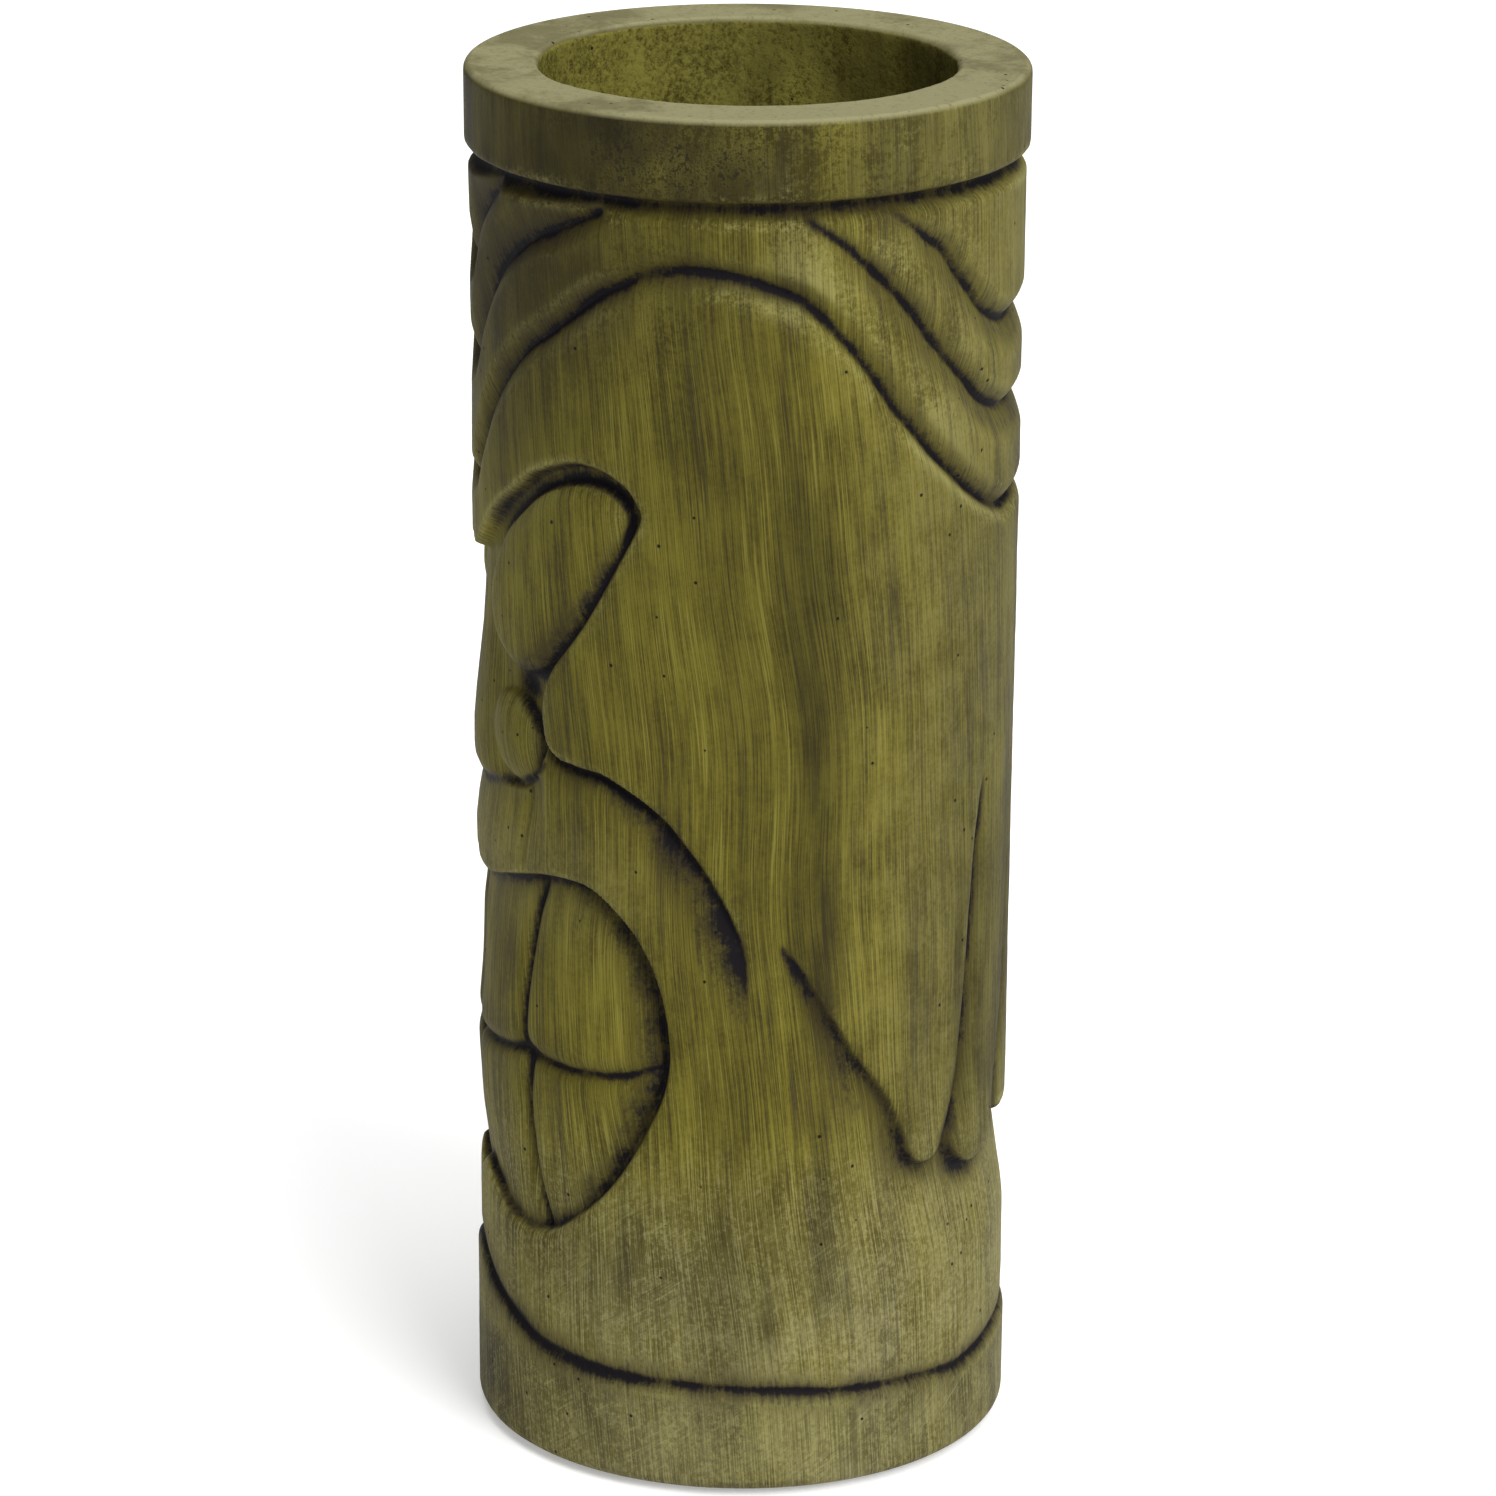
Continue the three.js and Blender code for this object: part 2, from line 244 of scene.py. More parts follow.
# The cheek's lower edge, from beside the nostril down to the jaw.
CHEEK = [
    (37, 317), (37.3, 310), (39.1, 303), (42.7, 299), (48.7, 298), (54.1, 297), (59.2, 293),
    (64.1, 288), (68.9, 281), (72.5, 273), (77, 262), (80.5, 251), (83, 241), (85, 231), (86, 218),
    (86.4, 206), (86.6, 193),
]
EYE = [
    (16.6, 370), (13.9, 359), (13.7, 349), (16.8, 338), (22.2, 332), (27.6, 329), (31.9, 329.5),
    (36.2, 332), (39.4, 337), (44.5, 347), (49.7, 360), (54, 372), (58.2, 386), (60.2, 398),
    (60, 404), (58.1, 409), (54.4, 412.5), (49.8, 413.5), (44.2, 411.5), (37, 406), (29, 395),
    (22, 384),
]
NOSE_FOOT = [(-6, 274), (6, 274), (13, 277), (20, 280), (27, 283), (33, 288), (37.5, 295)]
MOUTH = [
    (-5, 237), (5, 237.5), (12.9, 238), (17.7, 240), (28.9, 246), (38.1, 250), (45.9, 251),
    (51.4, 249), (56.4, 243), (61.3, 234), (64.9, 223), (67.3, 211), (68.8, 198), (69.4, 184),
    (68.7, 174), (67.3, 165), (64.9, 155), (61.3, 142), (56.3, 128), (50.4, 116), (43.8, 106),
    (38.2, 100), (30.8, 97), (23, 99), (16.3, 105), (11.5, 109), (7.6, 112), (-5, 114),
]
TEETH_MEET = [
    (-4, 165), (8, 167), (17.7, 169), (26.1, 172), (32.2, 174.5), (36.1, 173), (41.1, 172),
    (47, 172), (53.4, 173), (59.8, 175), (64.6, 178), (72, 182),
]
UPPER_GAP = [
    (36.5, 258), (35.6, 246), (33.2, 231), (31.6, 213), (30.4, 196), (30.2, 181), (31.2, 173),
]
LOWER_GAP = [(32.9, 172), (31.9, 153), (32.4, 136), (33.6, 120), (35.6, 106), (37, 94)]
LOCK_ENDS = [
    (89, 243), (92.5, 234), (95.7, 226), (99.8, 214), (104.2, 200), (107.7, 189), (112.2, 177),
    (115.9, 168), (119.3, 158), (121.7, 148), (123.4, 139), (125.4, 133.5), (128.2, 131.5),
    (131.2, 132.5), (133.6, 137.5), (135.4, 143), (137, 137.5), (138.7, 130), (141.2, 125.5),
    (144.2, 123), (147.4, 123), (151, 125.5), (154.5, 131), (157.5, 139), (159.5, 136), (163, 134),
    (170, 133.5), (184, 133.5),
]
LOCK_GAP = [
    (135.4, 139), (136.6, 145), (138, 153), (139.8, 167), (140.9, 183), (142, 205), (142.8, 224),
    (143.9, 246), (145, 266), (147, 292),
]
BACK_LOCK_GAP = [
    (157.5, 138), (158.2, 152), (160.3, 169), (163, 195), (164.1, 222), (166, 262), (167, 290),
]
PHILTRUM = [(31.5, 287), (31.2, 268), (30.8, 252)]
BASE_LINE = [
    (-4, 76), (4, 75), (10, 69.5), (16, 64), (22, 60), (28, 56), (33, 52.5), (39, 50), (44, 49),
    (54, 47.5), (64, 47), (75, 47), (85, 46), (95, 45), (106, 43), (116, 42), (131, 40),
    (139, 38.5), (148, 40), (160, 43), (171, 45), (184, 45),
]


# ---- The carving ----
# Depths and distances are in millimetres. Wash and painted shade, and wear and painted highlight,
# run from 0, none, to about 1, full.
def carve_cheek(wall):
    """The groove under the cheek: a wall on the cheek's side, softening out over the lip."""
    DEPTH, STEEP, SLOW, REACH = 6.2, 3.6, 15, 30
    d, side, share = wall.measure(CHEEK, reach=45)
    out = -side * d
    strength = chain(share, (0, DEPTH), (0.46, DEPTH), (0.70, 5.0), (0.87, 0))
    low = CARVED + strength * (0.66 * np.exp(-d / STEEP) + 0.34 * np.exp(-d / SLOW))
    edge = CARVED + 0.2 * strength * np.exp(-d / 1.6)
    wall.press(np.maximum(wall.depth, np.where(out > 0, low, edge)), fade(out, -4, -1))
    wall.press(low, fade(out, -0.8, 1.2) * (out < REACH) * fade(strength, 0, 1))
    feather = chain(share, (0, 0.25), (0.3, 0.5), (0.5, 0.95), (0.8, 0.85), (1, 0))
    end = fade(share, 0.9, 0.76)
    wide = chain(share, (0, 8), (0.45, 9), (0.7, 12), (1, 12))
    core = end * hill(d, 1.8 + 1.8 * feather)
    wall.darken(fade(out, -1.0, 0.8) * (core + 1.1 * feather * np.exp(-(d / wide) ** 1.3)))
    wall.darken(0.5 * end * hill(d, 1.2))


def carve_lip(wall):
    """Upper lip, tucked in under the nose, with a crease each side of its middle block."""
    tuck = chain(wall.Z, (236, 2.6), (240, 2.0), (252, 1.9), (262, 3.2), (274, 5.4), (281, 6.0))
    share = fade(41 - wall.bearing, 0, 9) * ((wall.Z < 290) & (wall.Z > 225))
    crease = wall.measure(PHILTRUM)[0]
    wall.deepen(CARVED + (np.maximum(tuck, CARVED) - CARVED) * share)
    wall.depth += 0.8 * hill(crease, 2.2)
    wall.darken(0.22 * hill(crease, 1.6))


def carve_eyes_and_nose(wall):
    """Eye, nose and nostril standing in the socket under the brow."""
    FLOOR = 8.4
    EYE_RISE, EYE_ROUND, EYE_CROWN = 5.9, 9, 0.7
    NOSTRIL_AT, NOSTRIL_HALF, NOSTRIL_RISE = (24.9, 300.6), (11.4, 17.8), 6.7
    PIT_AT, PIT_WIDTH, PIT_DEPTH = (28.5, 324.0), 8, 3.0
    socket = wall.within(SOCKET)
    brow = fade(wall.Z - 4.2 * (wall.bearing - 36), 384, 410)
    wall.deepen(CARVED + (1 - brow) * 1.6 * np.exp(socket / 2.4) * (socket < 0) * (wall.Z > 300))

    eye = wall.within(EYE)
    pillow = FLOOR - EYE_RISE * (1 - drop(eye, EYE_ROUND)) - EYE_CROWN * fade(eye, 6, 20)
    pillow = np.where(eye > 0, pillow, FLOOR)

    middle = chain(wall.Z, (272, 5.4), (276, 3.8), (281, 1.7), (290, 1.1), (307, 2.6), (335, 5.6),
                   (362, 7.4), (372, 7.8))
    half = chain(wall.Z, (276, 24), (300, 24), (318, 20), (335, 15), (370, 11)) * MM_PER_DEGREE
    nose = middle + (FLOOR + 1.2 - middle) * (wall.X / half) ** 2.6

    across = (wall.bearing - NOSTRIL_AT[0]) / NOSTRIL_HALF[0]
    up = (wall.Z - NOSTRIL_AT[1]) / NOSTRIL_HALF[1]
    ball = across ** 2 + up ** 2 + 0.25 * across * up
    nostril = FLOOR - NOSTRIL_RISE * np.sqrt(np.clip(1 - ball, 0, 1))

    face = least(pillow, least(nose, nostril, 2.2), 0.5)
    face = np.minimum(face, FLOOR)
    pit = hill(np.hypot(wall.X - PIT_AT[0] * MM_PER_DEGREE, 1.3 * (wall.Z - PIT_AT[1])), PIT_WIDTH)
    face += PIT_DEPTH * pit * (eye < 0)
    wall.press(face, fade(socket, -0.9, 1.7))

    # Darkening: wash round the eye, over its lower right, along the socket, in the pit and round the
    # nostril, and a painted shadow under the nose.
    inside = fade(socket, -1.0, 0.6)
    outer = fade(wall.bearing + 0.25 * (wall.Z - 340), 20, 34)
    beside = np.clip(-eye, 0, None)
    on_eye = np.clip(eye, 0, None)
    wall.darken(inside * (0.25 + 0.75 * outer) * (0.95 * hill(beside, 2.6) + 0.5 * np.exp(-beside / 5))
               * fade(on_eye, 2.4, -0.2))
    lower_right = fade(wall.bearing - 0.55 * (wall.Z - 340), 24, 40)
    wall.darken(inside * lower_right * 1.05 * np.exp(-(on_eye / 8.5) ** 1.2) * (eye > 0))
    wall.darken(0.6 * hill(socket - 1.0, 1.8) * (wall.Z > 300) * outer)
    wall.darken(inside * 1.1 * pit)
    ring = (np.sqrt(ball) - 1) * 20
    wall.darken(0.9 * inside * hill(ring, 2.4) * fade(wall.bearing + (wall.Z - 302) * 0.2, 26, 33))
    # Painted shadow under the nose.
    foot = wall.measure(NOSE_FOOT)[0]
    wall.darken(0.65 * hill(foot, 1.6) + 0.3 * np.exp(-foot / 5))


def carve_mouth(wall):
    """Two rows of teeth, bulging out where the rows meet, sunk in the opening of the lips."""
    REACH = 80                # the middle of the mouth is this far from its outline
    DEEPEST = 9.4
    SOFTEN = 2.4
    opening = wall.within(MOUTH, reach=REACH)
    rim = np.clip(opening, 0, None)
    meet = wall.over(TEETH_MEET, reach=REACH)
    upper = meet > 0
    row = np.abs(meet)
    gaps = np.where(upper, wall.measure(UPPER_GAP)[0], wall.measure(LOWER_GAP)[0])
    gaps = np.minimum(gaps, wall.X)
    share = row / (row + rim + 1e-6)
    crest = np.where(upper, 1.2 + 6.0 * share ** 1.5, 1.3 + 4.6 * share ** 2.4)
    side = fade(wall.bearing, 34, 62)
    corner = (5.6 - 0.8 * upper) * flank(rim, 20) * side
    near = -SOFTEN * np.log(np.exp(-row / SOFTEN) + np.exp(-gaps / SOFTEN) + 1e-12)
    near = np.maximum(near, 0)
    between = 3.0 * flank(near, 8.0) + 1.2 * hill(near, 1.1)
    teeth = np.minimum(crest + corner + between, DEEPEST)
    lips = fade(opening, -4.5, 0)
    wall.deepen((CARVED + 0.8 * lips) * (lips > 0))
    wall.press(teeth, fade(opening, -0.7, 1.5))

    # Dark lines between the teeth and round the rim of the lips, with painted shade spreading onto the
    # teeth's rounded sides, a painted shadow under the upper lip, and painted shade inside the mouth's
    # corner and at its bottom.
    inside = fade(opening, -0.6, 0.8)
    under = fade(wall.Z, 222, 240) * (1 - side * 0.5)
    wall.darken(inside * (0.62 * hill(near, 1.3) + 0.38 * np.exp(-near / 5)))
    wall.darken(inside * (hill(rim, 2.8) + 0.5 * under * np.exp(-rim / 6)))
    wall.darken(inside * side * (1.05 * np.exp(-(rim / 10.5) ** 1.4)))
    wall.darken(inside * 0.8 * np.exp(-rim / 6) * fade(wall.Z, 125, 106))


def carve_locks(wall):
    """Neck cut in under the locks, and the grooves between the locks."""
    NECK, BEVEL, BEVEL_WIDTH = 4.4, 0.42, 4.2
    ends = wall.over(LOCK_ENDS, reach=60)
    back = fade(wall.bearing, 90.5, 93.5)
    strength = chain(wall.bearing, (91.5, 0), (95, 3.0), (103, 5.0), (120, 5.4), (184, 5.4))
    under = np.clip(-ends, 0, None)
    neck = NECK * fade(wall.Z, 84, 128) * fade(wall.bearing, 104, 128)
    cut = strength * (0.62 * np.exp(-(under / 6.5) ** 1.5) + 0.38 * np.exp(-under / 17))
    low = CARVED + np.maximum(cut, neck + 0.4 * cut)
    bevel = CARVED + BEVEL * strength * drop(np.clip(ends, 0, None), BEVEL_WIDTH)
    wall.deepen(bevel * back * (ends > -2))
    wall.press(low, fade(ends, 0.7, -1.7) * back)
    wide = chain(wall.bearing, (91, 2), (99, 6.5), (108, 11), (116, 9.5), (124, 7), (184, 7))
    # Wash, with a painted shadow, under the ends of the locks.
    wall.darken(back * fade(strength, 0.2, 3) * fade(ends, 1.2, -0.4)
               * (0.6 * hill(under, 2.4) + 0.85 * np.exp(-(under / wide) ** 1.4)))
    wall.darken(0.9 * back * hill(ends + 0.4, 1.5) * fade(strength, 0.2, 3))
    wall.lighten(0.9 * back * hill(ends - 4, 1.8) * fade(strength, 3, 5) * fade(wall.Z, 175, 140))
    for points, size in ((LOCK_GAP, 6.0), (BACK_LOCK_GAP, 5.0)):
        d, side, share = wall.measure(points)
        reach = chain(share, (0, 1), (0.5, 0.85), (0.8, 0.55), (1, 0))
        width = np.where(side > 0, 2.4, 7.0) * (0.4 + 0.6 * reach)
        wall.deepen(CARVED + size * reach * np.exp(-(d / width) ** 1.4))
        core = hill(d, 2.1 + 3.2 * (1 - share) ** 2)
        spill = 0.45 * (side < 0) * np.exp(-d / (2 + 3 * (1 - share)))
        wall.darken(fade(reach, 0, 0.5) * (core + spill))


def carve_hair(wall):
    """Rounded swags of hair above the arch; each groove has a steep side and a slow one."""
    STEEP, SLOW = 13.0, 24.0
    CREST = 0.5
    PANEL_FALL, PANEL_WIDTH = 4.6, 9.0
    deep = chain(wall.bearing, (50, 7.0), (90, 5.2), (115, 5.8), (145, 7.0))
    arch = wall.over(ARCH)
    fall = deep * flank(arch, STEEP)
    nearest = np.abs(arch)
    for points, above, below in (
        (FRONT_SWAG, SLOW, STEEP), (FRONT_CROWN, SLOW, STEEP),
        (BACK_SWAG, STEEP, SLOW), (BACK_CROWN, STEEP, SLOW),
    ):
        d, side, share = wall.measure(points)
        start = fade(share, 0.0, 0.22) if above == STEEP else 1.0
        width = np.where(side > 0, above, below)
        fall = np.maximum(fall, deep * (0.3 + 0.7 * start) * flank(d, width))
        front = fade(60 - wall.bearing, 0, 20)
        # At the back, the wash spreads further up each groove's steep side, as painted shade.
        spread = np.where(width == STEEP, 4.2 + 2.6 * front, 2.2 + 4 * front)
        wall.darken(hill(d, 1.2) * (0.5 + 0.4 * start)
                   + (0.42 + 0.42 * front) * np.exp(-d / spread))
        nearest = np.minimum(nearest, d)
    hair = CREST + fall + 0.5 * hill(nearest, 1.0)
    panel = CARVED + PANEL_FALL * flank(-arch, PANEL_WIDTH)
    wall.press(np.maximum(wall.depth, panel), (arch <= 0) * 1.0)
    wall.press(hair, (arch > 0) * 1.0)
    top = hill(wall.bearing - 60, 21)
    back = fade(wall.bearing, 84, 100)
    # Painted highlight on the crests of the swags at the back, as rubbed paint.
    wall.lighten(back * np.exp(-fall / 2.5) * fade(arch, 5, 9) * fade(wall.bearing, 150, 120))
    wall.lighten(0.7 * back * hill(arch + 4.5, 2.0))
    wall.lighten(0.9 * hill(wall.bearing - 81, 17) * hill(arch + 7, 4))
    # Painted shade in the hollows between the swags; at the back, the arch's wash spreads further onto the
    # hair as painted shade.
    spread = np.where(arch > 0, 4.2 + 1.2 * back, 4.2 - 2.4 * back)
    wall.darken(0.24 * (arch > 0) * fade(fall, 0.6, 3.5))
    wall.darken((0.85 - 0.15 * back) * hill(arch, 1.2 + 0.4 * top)
               + (0.48 + 0.22 * top) * np.exp(-np.abs(arch) / spread))


def carve_rim_groove(wall):
    """Deep groove under the rim band, with a bevel below it."""
    groove = chain(
        wall.Z, (515.5, 0), (519.5, 1.5), (522.8, 5.4), (525.5, 7.0), (527.0, 6.9), (528.3, 1.2),
        (529.4, 0.3), (531.5, 0),
    )
    band = fade(wall.Z, RIM_BAND_BOTTOM - 0.6, RIM_BAND_BOTTOM + 0.6)
    wall.press(groove, band)
    wall.deepen(groove)
    wall.wash_and_shade *= 1 - fade(wall.Z, 525, 529)
    left = fade(60 - wall.bearing, 0, 50)
    below = np.clip(523.5 - wall.Z, 0, None)
    wall.lighten(fade(wall.bearing, 25, 60) * hill(wall.Z - 519.4, 1.9))
    wall.darken(1.1 * hill(wall.Z - 525.5, 2.6) + (0.1 + 0.6 * left) * np.exp(-below / 5) * (wall.Z < 526))


def carve_base(wall):
    """The plain band round the foot, bevelled up into its groove."""
    ABOVE, ABOVE_WIDTH = 2.4, 5
    BAND, BAND_WIDTH = 3.9, 6
    line = wall.over(BASE_LINE)
    above = CARVED + ABOVE * drop(line, ABOVE_WIDTH)
    band = BAND * drop(-line, BAND_WIDTH)
    wall.press(np.maximum(wall.depth, above), (line > 0) * 1.0)
    wall.press(band, (line <= 0) * 1.0)
    wall.lighten(0.8 * hill(line + 5, 1.6) * fade(wall.bearing, 40, 70))
    wall.lighten(0.5 * fade(line, -1, -4) * hill(wall.bearing - 88, 30))
    left = fade(wall.bearing, 78, 48)
    wall.darken((0.55 + 0.3 * left) * hill(line - 0.2, 1.2 + 0.7 * left)
               + (0.5 + 0.2 * left) * np.exp(-np.abs(line) / 5.5))


def carve(wall):
    for step in (carve_cheek, carve_lip, carve_eyes_and_nose, carve_mouth, carve_locks, carve_hair,
                 carve_base, carve_rim_groove):
        step(wall)


# ---- Noise and blur on the full grid ----
def lattice_noise(shape, cells, seed):
    """Smooth noise from -1 to 1 on a grid whose columns close into a ring."""
    draw = np.random.RandomState(seed)
    up, around = cells
    values = draw.uniform(-1, 1, (up + 3, around))
    z = np.linspace(0, up, shape[0], endpoint=False)
    x = np.linspace(0, around, shape[1], endpoint=False)
    zi = z.astype(int)
    xi = x.astype(int)

    def weights(t):
        return ((1 - t) ** 3 / 6, (3 * t ** 3 - 6 * t ** 2 + 4) / 6,
                (-3 * t ** 3 + 3 * t ** 2 + 3 * t + 1) / 6, t ** 3 / 6)

    result = 0
    for i, wz in enumerate(weights((z - zi)[:, None])):
        for j, wx in enumerate(weights((x - xi)[None, :])):
            result = result + wz * wx * values[np.ix_(zi + i, (xi + j - 1) % around)]
    return result * 1.6


def blur(grid, rows, columns):
    """Gaussian blur by rows and columns of spread, closed round the ring."""
    pad = int(3 * rows) + 1
    tall = np.pad(grid, ((pad, pad), (0, 0)), mode="edge")
    fz = np.fft.fftfreq(tall.shape[0])[:, None]
    fx = np.fft.fftfreq(tall.shape[1])[None, :]
    keep = np.exp(-2 * (math.pi * rows * fz) ** 2 - 2 * (math.pi * columns * fx) ** 2)
    return np.real(np.fft.ifft2(np.fft.fft2(tall) * keep))[pad:-pad]


# ---- The casting ----
def arc(centre_r, centre_z, radius, start, end, count):
    """Points of a round corner, in degrees from outward (0) to up (90)."""
    a = np.radians(np.linspace(start, end, count))
    return np.stack((centre_r + radius * np.cos(a), centre_z + radius * np.sin(a)), -1)


def straight(a, b, count):
    """Points of a straight stretch, without its two ends."""
    return np.linspace(a, b, count, endpoint=False)[1:]


def inner_profile():
    """The rows after the carved wall: rim, bore, floor, drain hole, underside and foot."""
    foot_z = FOOT + FOOT_ROUND
    corner = outside(foot_z) - FOOT_ROUND
    floor_z = FLOOR_TOP + BORE_COVE
    rim = arc(RIM_RADIUS - RIM_ROUND, HEIGHT - RIM_ROUND, RIM_ROUND, 0, 90, 7)[1:]
    lip = arc(BORE_RADIUS + RIM_ROUND, HEIGHT - RIM_ROUND, RIM_ROUND, 90, 180, 6)
    cove = arc(BORE_FLOOR_RADIUS - BORE_COVE, floor_z, BORE_COVE, 0, -90, 6)
    foot = arc(corner, foot_z, FOOT_ROUND, -90, 0, 7)[:-1]
    parts = [
        rim,
        straight(rim[-1], lip[0], 18),
        lip,
        straight(lip[-1], (BORE_FLOOR_RADIUS, floor_z), 150),
        cove,
        straight(cove[-1], (DRAIN_TOP, FLOOR_TOP), 26),
        [(DRAIN_TOP, FLOOR_TOP)],
        straight((DRAIN_TOP, FLOOR_TOP), (DRAIN_BOTTOM, FOOT), 12),
        [(DRAIN_BOTTOM, FOOT)],
        straight((DRAIN_BOTTOM, FOOT), (corner, FOOT), 30),
        foot,
    ]
    return np.vstack([np.asarray(part, float) for part in parts]), len(rim), len(foot)


def paint_run(shape, heights):
    """Height of the raised rim of a hardened run of paint, on the head's left side only."""
    BEARING, TOP, BOTTOM, HALF_WIDTH, RISE = 104.9, 373.0, 361.5, 1.9, 0.55
    across = (np.arange(shape[1]) * 360 / shape[1] - BEARING)[None, :] * MM_PER_DEGREE
    up = heights[:, None]
    d = np.hypot(across, np.clip(BOTTOM - up, 0, None))
    return RISE * hill(d - HALF_WIDTH, 0.8) * fade(up, TOP + 6, TOP - 2)


def carved_maps(wall_z):
    """Depth, wash with painted shade, and wear with painted highlight, of the carved wall on the full
    ring, worked out at twice the grid.
    """
    SHARP = 0.8               # a place this far out of or into its blurred surroundings is an edge
    fine_z = wall_z[0] + np.arange(2 * len(wall_z) - 1) * ROW_STEP / 2
    wall = Wall(fine_z, COLUMNS + 1)
    carve(wall)

    def ring(half):
        return np.hstack((half, half[:, -2:0:-1]))

    depth = ring(wall.depth)
    shape = depth.shape
    uneven = sum(
        height * lattice_noise(shape, cells, seed)
        for height, cells, seed in ((0.35, (9, 12), 1), (0.16, (40, 48), 2), (0.05, (200, 260), 3))
    )
    crisp = blur(depth, 1.0, 1.0)
    near = crisp - blur(depth, 4.0, 4.0)
    depth = np.maximum(crisp + uneven - paint_run(shape, fine_z), 0)
    edge = np.clip(-near / SHARP, 0, 1)
    hollow = np.clip(near / SHARP, 0, 1)
    wear = np.clip(0.6 * edge + ring(wall.worn_and_highlight), 0, 1)
    wash_and_shade = np.clip(blur(ring(wall.wash_and_shade), 0.8, 0.8), 0, 1.2) + 0.12 * hollow
    return [grid[::2, ::2] for grid in (depth, wash_and_shade, wear)]


def roughen(r, z, inner, columns):
    """Changes r and z in place: uneven rim top, rough bore and a slightly out-of-round mouth."""
    shape = (len(inner), columns)
    ring = lattice_noise(shape, (len(inner), 9), 11)
    coarse = lattice_noise(shape, (22, 46), 12)
    fine = lattice_noise(shape, (75, 190), 13)
    radius, height = inner[:, :1], inner[:, 1:]
    is_top = height > HEIGHT - 0.01
    in_bore = (radius <= BORE_RADIUS + RIM_ROUND) & (height > FLOOR_TOP + 0.5) & (radius > DRAIN_TOP + 1)
    # The top stays at least 0.03 mm under the CAD's rim.
    z -= is_top * np.maximum(0.35 + 0.28 * coarse + 0.14 * fine, 0.03)
    r += in_bore * (0.6 * ring[:1] + 0.6 * coarse + 0.28 * fine)


def paint_maps(z, wall_rows, inner):
    """Where the paint differs: pale rim top, bore, stippled dirt and painted shade, overall dark glaze and
    painted shade, grey dust and painted sheen.
    """
    shape = z.shape
    at = slice(wall_rows, None)
    pale = np.zeros(shape)
    bore = np.zeros(shape)
    pale[at] = fade(inner[:, 1:], HEIGHT - 2.6, HEIGHT - 0.5) * (inner[:, :1] > BORE_RADIUS + 0.4)
    bore[at] = (inner[:, :1] < BORE_RADIUS + 0.6) & (inner[:, 1:] > FLOOR_TOP - 1)
    bearing = np.abs((np.arange(shape[1]) * 360 / shape[1] + 180) % 360 - 180)[None, :]
    band = fade(z, 526, 530)

    # Stippled dirt and painted shade: dirt on the rim band beside the face, the chin, a streak on the
    # neck and the foot; painted shade on the swags over the face and, with dirt, on the back of the bore.
    dirt_and_shade = 0.85 * band * hill(bearing - 70, 29) + 0.3 * band
    dirt_and_shade += 0.6 * hill(z - 492, 32) * (1 - band) * fade(bearing, 98, 45)
    dirt_and_shade += 0.5 * hill(z - 92, 30) * hill(bearing - 66, 30)
    dirt_and_shade += 0.35 * hill(bearing - 104, 4) * fade(z, 55, 90) * fade(z, 150, 125)
    dirt_and_shade += fade(z, 48, 38) * (0.36 + 0.12 * fade(bearing, 60, 10))
    # The back of the bore is stippled darker, partly as painted shade.
    dirt_and_shade = dirt_and_shade * (1 - bore) + bore * (0.08 + 0.36 * fade(bearing, 75, 120))

    # Dark glaze and painted shade: painted shade high up, towards the middle of the face and towards
    # the back, less round the eye and on the lip; then glaze streaks behind the cheek, on the narrow
    # locks and on the neck.
    glaze_and_shade = 0.10 + 0.26 * fade(z, 150, 470) * (1 - 0.75 * fade(bearing, 92, 112))
    glaze_and_shade += 0.13 * fade(bearing, 78, 28) * fade(z, 90, 330)
    glaze_and_shade += 0.14 * fade(bearing, 104, 130) * fade(z, 130, 190) * fade(z, 440, 390)
    glaze_and_shade += 0.10 * fade(bearing, 56, 30) * fade(z, 405, 430)
    glaze_and_shade -= 0.16 * hill(z - 368, 36) * fade(bearing, 64, 50)
    glaze_and_shade -= 0.18 * hill(z - 262, 26) * fade(bearing, 50, 20)
    glaze_and_shade += 0.14 * hill(bearing - 88, 13) * fade(z, 180, 260) * fade(z, 470, 400)
    glaze_and_shade += 0.16 * band * fade(bearing, 105, 60) + 0.14 * band * fade(bearing, 100, 120)
    glaze_and_shade += 0.36 * hill(bearing - 101, 6.5) * fade(z, 150, 230) * fade(z, 450, 380)
    glaze_and_shade += 0.22 * hill(bearing - 82, 9) * fade(z, 235, 170)
    glaze_and_shade += 0.30 * fade(bearing, 133, 138) * fade(z, 300, 230) * fade(z, 118, 128)
    glaze_and_shade += 0.25 * fade(bearing, 34, 6) * fade(z, 75, 55)
    glaze_and_shade += 0.13 * fade(bearing, 142, 164) * fade(z, 170, 260)
    glaze_and_shade += 0.30 * hill(bearing - 102, 2.8) * fade(z, 58, 95) * fade(z, 190, 150)
    glaze_and_shade += 0.20 * hill(bearing - 91, 2.2) * fade(z, 50, 75) * fade(z, 170, 120)

    # Grey dust on the chin and foot; a painted grey sheen on the lip and all round the back, where the
    # light grazes.
    dust_and_sheen = 0.50 * fade(z, 150, 60) + 0.12 * fade(z, 50, 40)
    dust_and_sheen *= (1 - 0.55 * fade(bearing, 62, 34)) * (1 - 0.6 * fade(bearing, 108, 130))
    dust_and_sheen += 0.22 * hill(z - 250, 22) * fade(bearing, 75, 45)
    dust_and_sheen += 0.22 * fade(bearing, 94, 134)
    return {"pale": pale, "bore": bore, "dirt_and_shade": dirt_and_shade, "glaze_and_shade": glaze_and_shade * (1 - bore) * (1 - pale),
            "dust_and_sheen": dust_and_sheen * (1 - bore)}


